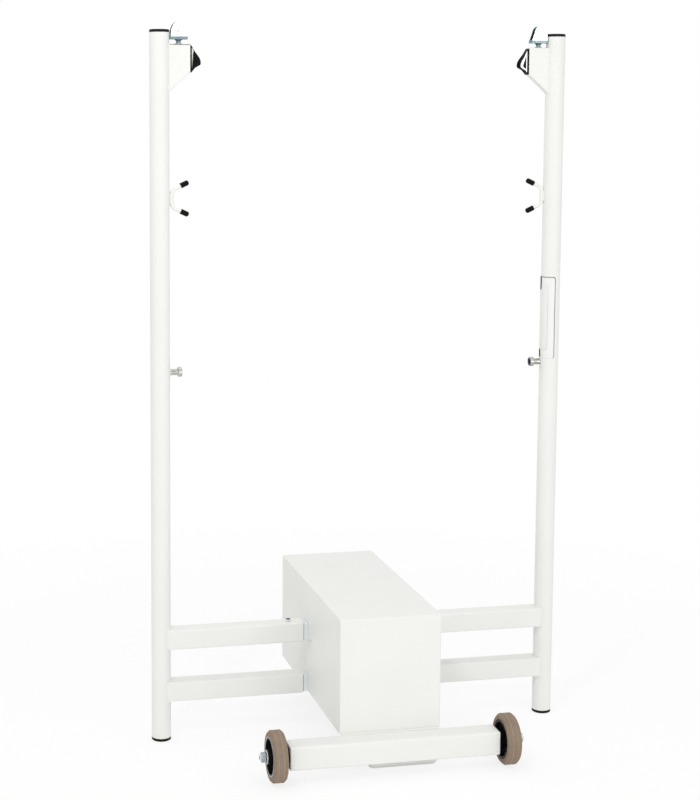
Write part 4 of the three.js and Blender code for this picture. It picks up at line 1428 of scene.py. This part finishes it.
@dataclass
class CordHorn(PostFrame):
    """The bent rod with two horns and their dipped caps, and the tie pin under it."""

    centre: float = 1192.5
    rod: float = 4.4
    stem: float = 36.0
    rise: float = 15.4
    horn_reach: float = 33.0
    bend: float = 9.0
    cap_length: float = 19.0
    cap_overlap: float = 15.0
    horn_weld: float = 1.5
    pin_up: float = 818.0
    pin_flange: float = 16.4
    pin_length: float = 9.4

    def build(self) -> None:
        """Builds the horn, its caps and the tie pin."""
        self.horn()
        self.tie_pin()

    def horn(self) -> None:
        """Extrudes and spins a round section along the rod, then welds and caps it."""
        axis = self.radius + self.gap + self.rod
        turn = math.atan2(self.rise, self.horn_reach)
        along = Vector((math.cos(turn), 0.0, math.sin(turn)))
        swing = math.pi / 2 - turn
        radius = self.bend / math.tan(swing / 2)
        tip_length = math.hypot(self.horn_reach, self.rise) - self.bend
        clear()
        bpy.ops.mesh.primitive_circle_add(vertices=28, radius=self.rod * MM, fill_type="NGON",
                                          location=metres(self.at(axis, self.centre)))
        rod = bpy.context.object
        settle(rod)
        rod.name = "cord_horn"
        edit(rod)
        bpy.ops.mesh.select_all(action="SELECT")
        rise = self.stem / 2 - self.bend
        extrude((0, 0, rise * MM))
        pivot = self.at(axis + radius, self.centre + rise)
        bpy.ops.mesh.spin(steps=10, angle=swing, center=metres(pivot), axis=(0, -1, 0))
        extrude(along * tip_length * MM)
        bpy.ops.mesh.select_all(action="SELECT")
        pick_faces(rod, lambda middle, normal: abs(normal.z) > ALONG and middle.z < self.centre + NEAR)
        bpy.ops.mesh.delete(type="FACE")
        bpy.ops.object.mode_set(mode="OBJECT")
        mirror = Matrix.Scale(-1.0, 4, Axis.Z.value)
        rod = join("cord_horn", [rod, moved_copy(rod, "lower_half", (0, 0, self.centre), mirror)])
        edit(rod, "VERT")
        clean()
        smooth(rod, 50.0)
        ups = [-11 + 2.5 * index for index in range(9)] + [11]
        welds = []
        for side in (-1, 1):
            line = [(self.x(self.radius + 0.7), self.plane + side * 2.6, self.centre + up) for up in ups]
            welds.append(bead("weld", line, self.horn_weld, closed=False))
        rod = join("cord_horn", [rod, *welds])
        paint(rod, PAINT)
        self.place(rod, "cord_horn", "cord_horn")
        end = self.stem / 2 + self.rise
        for side, stem in ((1, "upper"), (-1, "lower")):
            self.horn_cap(axis + self.horn_reach, self.centre + side * end, side * turn, stem)

    def horn_cap(self, local: float, up: float, turn: float, stem: str) -> None:
        """Builds a dipped cap over a rod's end.

        Args:
            local: rod end's distance from the post's axis.
            up: its height.
            turn: the rod's slope in radians.
            stem: upper or lower.
        """
        bore, outer = self.rod + 0.15, self.rod + self.gap + 1.1
        length, mouth = self.cap_length, self.cap_overlap
        cap = turned("horn_cap", [
            (bore, 0), (outer - 0.35, -0.1), (outer, 0.5), (outer - 0.1, 6),
            (outer - 0.05, length - 4.2), (outer - 0.35, length - 2.9), (outer - 1.0, length - 1.7),
            (outer - 2.0, length - 0.75), (outer - 3.4, length - 0.2), (0, length),
        ][::-1] + [(0, mouth + self.gap), (bore, mouth)], self.at(0, 0), Axis.X, 40, angle=60)
        rod_end = Vector(metres(self.at(local, up)))
        slope = Matrix.Rotation(-turn, 4, "Y")
        start = Matrix.Translation(rod_end) @ slope @ Matrix.Translation(metres((-mouth, 0, 0)))
        cap.data.transform(start @ Matrix.Translation(-Vector(metres(self.at(0, 0)))))
        paint(cap, VINYL)
        self.place(cap, f"horn_cap_{stem}", f"horn_cap_{stem}")

    def tie_pin(self) -> None:
        """Builds the hollow flanged pin, turned from plated bar, and its weld."""
        start, flange = self.radius - 3.0, self.radius + self.pin_flange
        end = flange + self.pin_length
        pin = turned("tie_pin", [
            (0, start), (6.8, start), (6.8, flange - 0.6), (7.4, flange), (9.4, flange),
            (10.8, flange + 1.4), (10.8, end - 1.4), (9.4, end), (6.4, end), (5.4, end - 0.9),
            (4.6, end - 1.6), (4.6, end - 19), (0, end - 21),
        ], self.at(0, self.pin_up), Axis.X, 64, edge=0.3)
        cut(pin, self.post_cutter(self.gap))
        smooth(pin, 40.0)
        paint(pin, TURNED_BAR)

        def dark(middle: Vector, normal: Vector) -> bool:
            """Tells the bore and the hollow of the end face, which get painted shade."""
            away = math.hypot(middle.y - self.plane, middle.z - self.pin_up)
            bore = away < 5.6 and middle.x > self.x(end - 21.5)
            return bore or away < 9.0 and middle.x > self.x(end - 1.2)

        # Painted shade in the bore and in the hollow of the end face.
        paint_faces(pin, ZINC_DEEP_SHADE, dark)
        ring, beads = 7.4, 22
        line = []
        for turn in (2 * math.pi * index / beads for index in range(beads)):
            aside, up = ring * math.sin(turn), ring * math.cos(turn)
            surface = self.radius * math.cos(math.asin(aside / self.radius))
            line.append((self.x(surface + 0.5), self.plane + aside, self.pin_up + up))
        weld = bead("weld", line, 1.0)
        paint(weld, PAINT)
        pin = join("tie_pin", [pin, weld])
        self.place(pin, "tie_pin", "tie_pin")


@dataclass
class BarePlate(PostFrame):
    """A bare film plate wrapped round the front of the right post."""

    low: float = 827.0
    high: float = 1011.0
    span: Pair = (150.0, 280.5)
    insert: tuple[float, float, float, float] = (150.0, 235.5, 846.0, 992.0)
    shade_span: Pair = (140.0, 186.0)
    shade_strips: tuple[Pair, ...] = ((981.0, 1011.0), (828.0, 847.0))
    corner: float = 5.0
    thickness: float = 0.225
    clearance: float = 0.05
    bends: int = 24

    def build(self) -> None:
        """Builds the plate with a rim of painted shadow, its insert with a fainter rim of painted
        shadow, and black strips of painted shade at its hidden edge.

        Each layer has its name, its span, its heights, how far it stands over the paint and its
        finish.
        """
        rim, edge = 2.0, 0.7
        layers = (
            # Painted shadow: the two rim layers show as dark lines round the plate and the insert.
            ("right_post_plate_shadow_rim", self.span, (self.low, self.high), 0.0, PLATE_EDGE_SHADOW),
            ("right_post_plate", (self.span[0], self.span[1] - math.degrees(rim / self.radius)),
             (self.low + 0.2, self.high - rim), 0.22, PLATE_FILM),
            ("right_post_plate_insert_shadow_rim", self.insert[:2], self.insert[2:], 0.34, PLATE_INSERT_EDGE_SHADOW),
            ("right_post_plate_insert",
             (self.insert[0], self.insert[1] - math.degrees(edge / self.radius)),
             (self.insert[2] + edge, self.insert[3]), 0.48, PLATE_INSERT),
            # Painted shade: black plastic strips where shade falls at the plate's hidden edge.
            ("right_post_plate_shade_strip_upper", self.shade_span, self.shade_strips[0], 0.62, PLASTIC),
            ("right_post_plate_shade_strip_lower", self.shade_span, self.shade_strips[1], 0.62, PLASTIC),
        )
        for name, span, heights, lift, finish in layers:
            film = self.film(name, span, heights, lift)
            paint(film, finish)
            stand(film, "right_frame")

    def film(self, name: str, span: Pair, heights: Pair, lift: float) -> bpy.types.Object:
        """Wraps a flat sheet round the post.

        Args:
            name: name of the piece.
            span: the angles, in degrees round the post, where it starts and ends.
            heights: its lower and upper edge.
            lift: how far it stands over the paint.

        Returns:
            The piece.
        """
        reach = self.radius + self.clearance + lift
        start, end = (math.radians(angle) for angle in span)
        low, high = heights
        width = (end - start) * reach
        corner = min(self.corner, width / 4, (high - low) / 4)
        clear()
        bpy.ops.mesh.primitive_plane_add(size=1.0)
        film = bpy.context.object
        film.name = name
        film.scale = (width * MM, (high - low) * MM, 1.0)
        settle(film)
        edit(film, "VERT")
        bpy.ops.mesh.select_all(action="SELECT")
        bpy.ops.mesh.bevel(offset=corner * MM, segments=6, affect="VERTICES")
        for index in range(1, self.bends):
            spot = (index / self.bends - 0.5) * width * MM
            bpy.ops.mesh.select_all(action="SELECT")
            bpy.ops.mesh.bisect(plane_co=(spot, 0, 0), plane_no=(1, 0, 0))
        bpy.ops.object.mode_set(mode="OBJECT")
        centre = Vector((self.spacing / 2, self.plane, 0)) * MM
        for vert in film.data.vertices:
            turn = (start + end) / 2 + vert.co.x / (reach * MM)
            up = vert.co.y + (low + high) / 2 * MM
            vert.co = centre + Vector((reach * MM * math.cos(turn), reach * MM * math.sin(turn), up))
        edit(film, "FACE")
        bpy.ops.mesh.select_all(action="SELECT")
        bpy.ops.mesh.normals_make_consistent(inside=False)
        bpy.ops.object.mode_set(mode="OBJECT")
        face = film.data.polygons[0]
        if face.normal.dot(face.center - centre - Vector((0, 0, face.center.z))) < 0:
            edit(film, "FACE")
            bpy.ops.mesh.select_all(action="SELECT")
            bpy.ops.mesh.flip_normals()
            bpy.ops.object.mode_set(mode="OBJECT")
        apply(film, "SOLIDIFY", thickness=self.thickness * MM, offset=1.0)
        smooth(film, 40.0)
        return film


# The base


@dataclass
class BallastBase:
    """The ballast box, its stubs, the tray under it and the axle tube."""

    width: float = 220.0
    front: float = -223.25
    back: float = 301.75
    bottom: float = 83.0
    top: float = 328.0
    wall: float = 3.0
    corner: float = 3.0
    top_radius: float = 1.4
    plane: float = POST_PLANE
    rail_size: Pair = RAIL_SIZE
    rail_tops: Pair = RAIL_TOPS
    collar: float = 5.0
    collar_weld: float = 1.5
    stub_size: Pair = (35.3, 38.3)
    stub_from: float = 85.0
    stub_to: float = 247.8
    stub_wall: float = 1.7
    stub_corner: float = 2.0
    stub_gap: float = 0.3
    # X of the ends of the painted shadow ring next to the rails' ends.
    rail_mouth_shadow: Pair = (-128.6, -126.3)
    tray: tuple[float, float, float, float] = (-44.0, 107.0, -222.95, 297.75)
    tray_top: float = 82.7
    tray_floor: float = 10.0
    tray_radius: float = 10.0
    axle_half: float = 219.7
    axle_size: float = 50.0
    axle_corner: float = 4.0
    axle_wall: float = 3.0
    axle_middle: Pair = AXLE_MIDDLE
    axle_weld: tuple[float, float, int, float] = (-106.0, 4.0, 54, 2.3)

    def build(self) -> None:
        """Builds the base's pieces."""
        self.box()
        self.stubs()
        self.skid()
        self.axle()

    def shell_with_walls(self, piece: bpy.types.Object, facing: Vector, depth: float) -> None:
        """Sinks one side of a block, leaving its walls.

        Args:
            piece: the block.
            facing: normal of the open side.
            depth: how deep it is sunk.
        """
        edit(piece)
        pick_faces(piece, lambda middle, normal: normal.dot(facing) > ALONG)
        bpy.ops.mesh.inset(thickness=self.wall * MM)
        extrude(-facing * depth * MM)
        bpy.ops.object.mode_set(mode="OBJECT")

    def square(self, name: str, ends: list[float], middle: float, size: Pair, corner: float,
               wall: float = 0.0) -> bpy.types.Object:
        """Makes a bar along X in the posts' plane.

        Args:
            name: name of the piece.
            ends: X of its two ends.
            middle: height of its middle.
            size: its depth and height.
            corner: radius of its corners.
            wall: its wall, or 0 for a solid bar.

        Returns:
            The piece.
        """
        depth, height = size
        return bar(name, (ends[0], self.plane - depth / 2, middle - height / 2),
                   (ends[1], self.plane + depth / 2, middle + height / 2), Axis.X, corner, wall)

    def box(self) -> None:
        """Builds the box shell, its welded collars and their beads."""
        half = self.width / 2
        shell = block("ballast_box", (-half, self.front, self.bottom), (half, self.back, self.top))
        round_edges(shell, Axis.Z, self.corner, 5)
        self.shell_with_walls(shell, Vector((0, 0, -1)), self.top - self.bottom - self.wall)
        round_picked(shell, lambda middle, way: middle.z > self.top - NEAR, self.top_radius, 3)
        wide, tall = self.rail_size
        opening = tuple(width + 2 * self.stub_gap for width in self.stub_size)
        welds = []
        for side in (-1, 1):
            for top in self.rail_tops:
                middle = top - tall / 2
                ends = sorted((side * (half - 1.0), side * (half + self.collar)))
                cut(shell, self.square("collar", ends, middle, self.rail_size, self.corner), "UNION")
                ends = sorted((side * (half - 12.0), side * (half + 20.0)))
                cut(shell, self.square("window", ends, middle, opening, self.stub_corner))
                x = side * (half + 0.3)
                sides = ((-wide, tall), (wide, tall), (wide, -tall), (-wide, -tall))
                corners = [(x, self.plane + depth / 2, middle + height / 2) for depth, height in sides]
                welds.append(bead("weld", route(corners, WELD_STEP), self.collar_weld))
        soften(shell, 0.5, 2, 60.0)
        body = join("ballast_box", [shell, *welds])
        body.name = "ballast_box_shell"
        paint(body, PAINT)
        stand(body, "base", "ballast_box")

    def stubs(self) -> None:
        """Builds the plated stubs that the rails slide over, each with a ring of painted shadow next to
        the rail's end.
        """
        for top, stem in zip(self.rail_tops, ("upper_stub", "lower_stub")):
            stub = self.square(stem, [-self.stub_to, -self.stub_from], top - self.rail_size[1] / 2,
                               self.stub_size, self.stub_corner, self.stub_wall)
            soften(stub, 0.3, 2, 60.0)
            for place in self.rail_mouth_shadow:
                split(stub, (place, 0.0, 0.0), Axis.X)
            paint(stub, STUB_ZINC)
            near, far = self.rail_mouth_shadow
            # Painted shadow: a dark ring on the stub next to the rail's end.
            paint_faces(stub, ZINC_DEEP_SHADE, lambda middle, normal: near < middle.x < far)
            both_sides(stub, stem, "base", [stem], (0.0, self.plane))

    def skid(self) -> None:
        """Builds the tray that the box stands on, with round lower edges."""
        left, right, front, back = self.tray
        tray = block("skid_tray", (left, front, 0.0), (right, back, self.tray_top))
        round_picked(tray, lambda middle, way: abs(way.z) > ALONG or middle.z < NEAR,
                     self.tray_radius, 6)
        self.shell_with_walls(tray, Vector((0, 0, 1)), self.tray_top - self.tray_floor)
        soften(tray, 0.5, 2, 60.0)
        # Painted light: a lighter white than the box's, without scuffs.
        paint(tray, TRAY_PAINT_LIGHTENED)
        tray.name = "skid_tray_shell"
        stand(tray, "base", "skid_tray")

    def axle(self) -> None:
        """Builds the square axle tube and its weld along the box."""
        y, z = self.axle_middle
        half = self.axle_size / 2
        tube = bar("axle", (-self.axle_half, y - half, z - half), (self.axle_half, y + half, z + half),
                   Axis.X, self.axle_corner, self.axle_wall, 6)
        soften(tube, 0.5, 2, 60.0)
        start, step, count, radius = self.axle_weld
        line = [(start + step * index, y + half - 2.0, z + half + 1.3) for index in range(count)]
        weld = bead("weld", line, radius, closed=False)
        tube = join("axle_tube_square", [tube, weld])
        paint(tube, PAINT)
        stand(tube, "base", "axle_tube")


@dataclass
class Wheel:
    """A wheel with its spindle, made at the left side along -X from the axle tube's end."""

    tube_end: float = 223.0
    centre: Pair = AXLE_MIDDLE
    radius: float = 53.5
    inner: float = 13.0
    outer: float = 43.0
    tread_lines: Pair = (27.8, 33.6)
    seat: float = 41.0
    rim: float = 5.5
    pale_ring_width: float = 2.6
    boss: float = 14.5
    bore: float = 8.25
    face: float = 3.4
    web: float = 3.0
    inboard: float = 2.8
    stud: float = 6.0
    stud_end: float = 63.5
    thread_start: float = 47.5
    thread_pitch: float = 1.5
    thread_turns: int = 10
    bush: float = 8.1
    bush_face: float = 46.55
    washer: Pair = (15.0, 2.5)
    nut_after: float = 2.8
    nut_flats: float = 19.0
    nut_height: float = 10.0
    nut_bore: Pair = (6.1, 6.9)
    plate_half: float = 25.0
    plate_radius: float = 3.2
    rim_proud: float = 4.5
    dish: Pair = (17.0, 18.5)

    def spin(self, name: str, profile: list[Pair], steps: int = 96, edge: float = 0.0,
             angle: float = 35.0) -> bpy.types.Object:
        """Spins a profile of (radius, distance from the axle tube's end).

        Args:
            name: name of the piece.
            profile: its corners.
            steps: faces round it.
            edge: width of the rounding.
            angle: least angle of an edge that is rounded.

        Returns:
            The piece, at the left side.
        """
        outwards = [(radius, -along) for radius, along in profile]
        return turned(name, outwards, (-self.tube_end, *self.centre), Axis.X, steps, edge, angle)

    def place(self, piece: bpy.types.Object, stem: str, body: str) -> None:
        """Stands a piece and its right copy in place of their CAD nodes."""
        both_sides(piece, stem, body, [stem], (0.0, self.centre[0]))

    def from_axle(self, place: Vector) -> float:
        """Returns a place's distance from the wheel's axis."""
        return math.hypot(place.y - self.centre[0], place.z - self.centre[1])

    def build(self) -> None:
        """Builds the wheel's pieces."""
        self.spindle()
        self.tyre()
        self.hub()
        self.fasteners()

    def spindle(self) -> None:
        """Builds the end plate and its stud with a few thread rings."""
        y, z = self.centre
        half = self.plate_half
        face = -self.tube_end - self.rim_proud
        end_plate = bar("wheel_spindle", (face, y - half, z - half),
                        (-self.tube_end + 3.3, y + half, z + half), Axis.X, 4.0, 0.0, 6)
        round_picked(end_plate, lambda middle, way: middle.x < face + NEAR, self.plate_radius, 5)
        over = self.rim_proud + 1.0
        dish = [(0, 0), (self.dish[0], 0), (self.dish[1], over), (0, over)]
        cut(end_plate, self.spin("dish", dish, 64))
        soften(end_plate, 0.4, 2, 60.0)
        paint(end_plate, PAINT)
        thread = []
        for index in range(self.thread_turns):
            start = self.thread_start + self.thread_pitch * index
            thread += [(5.35, start), (self.stud, start + 0.55), (self.stud, start + 0.85)]
        tip = self.stud_end
        stud = self.spin("stud", [(0, -1.5), (9.5, -1.5), (9.5, 2.2), (self.stud, 2.2),
                                  (self.stud, self.thread_start - 0.5), *thread,
                                  (5.4, tip - 0.9), (4.7, tip), (0, tip)], 48, angle=30)
        paint(stud, ZINC)
        # Painted shade on the stud's end face.
        paint_faces(stud, ZINC_DEEP_SHADE, lambda middle, normal: normal.x < -0.9
                    and middle.x < -self.tube_end - tip + 0.5)
        piece = join("wheel_spindle", [end_plate, stud])
        self.place(piece, "wheel_spindle", "base")

    def tyre(self) -> None:
        """Builds the solid tyre with bevelled shoulders and moulded lines."""
        out = self.radius
        bevel = out - 3.4
        side = [(self.seat + 0.3, 0), (44.0, 0), (44.6, 0.5), (46.6, 0.5), (47.2, 0), (bevel - 2.5, 0),
                (bevel - 1.0, 0.35), (bevel, 1.25), (out - 0.5, 4.4), (out, 5.0)]
        tread = []
        for line in self.tread_lines:
            tread += [(out - 0.25, line - 0.7), (out, line - 0.3), (out, line + 0.3),
                      (out - 0.25, line + 0.7)]
        profile = [(radius, self.inner + sunk) for radius, sunk in side] + tread
        profile += [(radius, self.outer - sunk) for radius, sunk in reversed(side)]
        tyre = self.spin("tyre", profile, 128, edge=0.2, angle=25)
        paint(tyre, TYRE)
        self.place(tyre, "tyre", "wheel")

    def hub(self) -> None:
        """Builds the dished hub with its rim, web and boss."""
        middle = (self.inner + self.outer) / 2
        rim = self.seat - self.rim
        root = self.boss + 1.8
        face = self.outer + self.face
        web, foot = self.web, self.web + 2.0
        profile = [
            (self.bore, self.inboard), (self.boss - 0.6, self.inboard), (self.boss, self.inboard + 0.6),
            (root, middle - foot), (root + 2.0, middle - web), (rim - 3.8, middle - web),
            (rim - 1.8, middle - foot), (rim, self.inner + 0.8), (rim + 0.8, self.inner),
            (self.seat, self.inner), (self.seat, self.outer), (self.seat - self.pale_ring_width, self.outer),
            (rim + 0.8, self.outer), (rim, self.outer - 0.8), (rim - 1.8, middle + foot),
            (rim - 3.8, middle + web), (root + 2.0, middle + web), (root, middle + foot),
            (self.boss, face - 0.6), (self.boss - 0.6, face), (self.bore, face),
        ]
        hub = self.spin("wheel_hub", profile, 96, edge=0.35, angle=20)
        paint(hub, HUB_GLOSS)
        outside = -self.tube_end - self.outer
        # A pale metallic ring on the rim's outer face.
        paint_faces(hub, HUB_RIM, lambda middle, normal: abs(normal.x) > 0.95
                    and self.from_axle(middle) > self.seat - self.pale_ring_width
                    and abs(middle.x - outside) < 0.3)
        self.place(hub, "wheel_hub", "wheel")

    def fasteners(self) -> None:
        """Builds the bush, the washer and the nut."""
        face, inner = self.bush_face, self.stud + 0.25
        bush = self.spin("wheel_bush", [
            (inner, self.inboard), (self.bush, self.inboard), (self.bush, face), (10.5, face),
            (10.5, face + 1.2), (inner, face + 1.2),
        ], 48, edge=0.15)
        paint(bush, STEEL)
        self.place(bush, "wheel_bush", "wheel")
        start, hole = face + 1.5, self.stud + 0.3
        outer, thick = self.washer
        washer = self.spin("wheel_washer", [
            (hole, start), (outer, start), (outer, start + thick), (hole, start + thick),
        ], 64, edge=0.45)
        paint(washer, ZINC)
        # Painted shade: the washer's outer face is dark, its rounded edge bright.
        paint_faces(washer, ZINC_PAINTED_SHADE, lambda middle, normal: normal.x < -0.9)
        self.place(washer, "wheel_washer", "base")
        self.nut(start + self.nut_after)

    def nut(self, start: float) -> None:
        """Builds a hexagon nut with turned corners.

        Args:
            start: distance of its inner face from the axle tube's end.
        """
        y, z = self.centre
        corner = self.nut_flats / 2 / math.cos(math.pi / 6)
        hexagon = [(y + corner * math.cos(turn), z + corner * math.sin(turn))
                   for turn in (math.pi / 3 * index for index in range(6))]
        end = start + self.nut_height
        face = -self.tube_end - start
        nut = plate("wheel_nut", hexagon, face - self.nut_height, face, Axis.X)
        lathe = self.spin("lathe", [
            (0, start), (self.nut_flats / 2, start), (corner, start + 1.2), (corner, start + 8.8),
            (self.nut_flats / 2, end), (0, end),
        ], 64)
        cut(nut, lathe, "INTERSECT")
        bore, mouth = self.nut_bore
        hole = self.spin("hole", [
            (0, start - 2), (mouth, start - 2), (mouth, start), (bore, start + 0.9),
            (bore, start + 9.1), (mouth, end), (mouth, end + 2), (0, end + 2),
        ], 48)
        cut(nut, hole)
        soften(nut, 0.25, 2, 40.0)
        paint(nut, NUT_STEEL)
        self.place(nut, "wheel_nut", "base")


# The studio


@dataclass(frozen=True)
class Softbox:
    """A square lamp: where it stands, where it points, its side in metres and its watts."""

    name: str
    place: Point
    target: Point
    size: float
    power: float

    def build(self) -> None:
        """Adds the lamp."""
        light = bpy.data.lights.new(self.name, "AREA")
        light.shape = "SQUARE"
        light.size = self.size
        light.energy = self.power
        lamp = bpy.data.objects.new(self.name, light)
        bpy.context.scene.collection.objects.link(lamp)
        lamp.location = metres(self.place)
        way = metres(self.target) - metres(self.place)
        lamp.rotation_euler = way.to_track_quat("-Z", "Y").to_euler()


@dataclass
class Studio:
    """White floor and backdrop, soft lamps and the camera."""

    eye: Point = (-996.41, -3436.85, 1361.50)
    yaw: float = -0.20133
    pitch: float = 0.10815
    roll: float = 0.00137
    lens: float = 74.131
    shift: Pair = (0.14736, -0.1275)
    sensor: float = 36.0
    clip_end: float = 60.0
    floor_size: float = 14.0
    floor_colour: Colour = tint(0.97, 0.97, 0.97)
    floor_fade: Pair = (0.8, 2.0)
    floor_glow: float = 0.8
    white: Colour = tint(1.0, 1.0, 1.0)
    world_on_object: float = 0.745
    world_seen: float = 1.0
    lamps: tuple[Softbox, ...] = (
        Softbox("front_softbox", (1000.0, -6000.0, 400.0), (0.0, 0.0, 200.0), 2.4, 38.0),
        Softbox("front_right_strip", (1800.0, -3590.0, 1680.0), (250.0, 0.0, 900.0), 0.6, 12.0),
        Softbox("left_softbox", (-1500.0, -1900.0, 3000.0), (-110.0, 40.0, 200.0), 0.4, 21.0),
        Softbox("top_softbox", (200.0, 300.0, 3800.0), (0.0, 0.0, 400.0), 2.4, 14.0),
    )

    def build(self) -> None:
        """Builds the studio."""
        bpy.context.scene.view_settings.view_transform = "Standard"
        self.backdrop()
        self.floor()
        for lamp in self.lamps:
            lamp.build()
        self.camera()

    def backdrop(self) -> None:
        """Makes the world white to the camera and soft to the object."""
        world = bpy.data.worlds.new("studio_world")
        bpy.context.scene.world = world
        world.use_nodes = True
        tree = world.node_tree
        shade = tree.nodes["Background"]
        rays = tree.nodes.new("ShaderNodeLightPath")
        seen = rays.outputs["Is Camera Ray"]
        for kind in ("Is Glossy Ray", "Is Transmission Ray"):
            either = tree.nodes.new("ShaderNodeMath")
            either.operation = "MAXIMUM"
            tree.links.new(seen, either.inputs[0])
            tree.links.new(rays.outputs[kind], either.inputs[1])
            seen = either.outputs[0]
        power = tree.nodes.new("ShaderNodeMapRange")
        power.inputs["To Min"].default_value = self.world_on_object
        power.inputs["To Max"].default_value = self.world_seen
        tree.links.new(seen, power.inputs["Value"])
        tree.links.new(power.outputs["Result"], shade.inputs["Strength"])
        shade.inputs["Color"].default_value = self.white

    def floor(self) -> None:
        """Builds the floor, which keeps the object's shadow and fades into the backdrop."""
        clear()
        bpy.ops.mesh.primitive_circle_add(vertices=96, radius=self.floor_size / 2, fill_type="NGON",
                                          location=(0, 0, -0.0004))
        floor = settle(bpy.context.object)
        floor.name = "studio_floor"
        desk = NodeDesk("studio_floor_white")
        desk.shader.inputs["Base Color"].default_value = self.floor_colour
        desk.shader.inputs["Roughness"].default_value = 0.9
        desk.shader.inputs["Specular IOR Level"].default_value = 0.0
        rays = desk.add("ShaderNodeLightPath")
        seen = desk.math("MAXIMUM", rays.outputs["Is Camera Ray"], rays.outputs["Is Glossy Ray"])
        length = desk.add("ShaderNodeVectorMath", operation="LENGTH")
        desk.link(desk.place, length.inputs[0])
        far = desk.remap(length.outputs["Value"], *self.floor_fade, self.floor_glow, 1.0)
        glow = desk.add("ShaderNodeEmission")
        mix = desk.add("ShaderNodeMixShader")
        desk.link(desk.math("MULTIPLY", seen, far), mix.inputs[0])
        desk.link(desk.shader.outputs[0], mix.inputs[1])
        desk.link(glow.outputs[0], mix.inputs[2])
        output = desk.tree.nodes["Material Output"]
        desk.link(mix.outputs[0], output.inputs["Surface"])
        floor.data.materials.append(desk.material)

    def camera(self) -> None:
        """Sets the camera at the photograph's angle."""
        sin_yaw, cos_yaw = math.sin(self.yaw), math.cos(self.yaw)
        sin_pitch, cos_pitch = math.sin(self.pitch), math.cos(self.pitch)
        ahead = Vector((-sin_yaw * cos_pitch, cos_yaw * cos_pitch, -sin_pitch))
        right = Vector((cos_yaw, sin_yaw, 0.0))
        up = right.cross(ahead)
        turn_right = right * math.cos(self.roll) + up * math.sin(self.roll)
        turn_up = up * math.cos(self.roll) - right * math.sin(self.roll)
        data = bpy.data.cameras.new("photo_camera")
        data.lens = self.lens
        data.sensor_width = self.sensor
        data.shift_x, data.shift_y = self.shift
        data.clip_end = self.clip_end
        camera = bpy.data.objects.new("photo_camera", data)
        bpy.context.scene.collection.objects.link(camera)
        frame = Matrix((turn_right, turn_up, -ahead)).transposed().to_4x4()
        camera.matrix_world = Matrix.Translation(metres(self.eye)) @ frame
        bpy.context.scene.camera = camera


def dress_kept_nodes(nodes: dict[str, bpy.types.Object]) -> None:
    """Gives the CAD nodes that stay their finishes.

    Args:
        nodes: the frame's nodes by name.
    """
    for name, finish in (("box_plate", BOX_STEEL), ("ballast_block", CONCRETE)):
        node = nodes[name]
        node.data.materials.clear()
        node.data.materials.append(finish.material())


def main() -> None:
    """Builds the whole scene round the frame."""
    logging.basicConfig(level=logging.INFO, format="%(name)s %(message)s")
    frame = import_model()
    PostFrame().build()
    HeadFittings().build()
    JamCleat().build()
    CordHorn().build()
    BarePlate().build()
    BallastBase().build()
    Wheel().build()
    dress_kept_nodes(frame["nodes"])
    Studio().build()
    clear()
    LOG.info("sizes written")


if __name__ == "__main__":
    main()
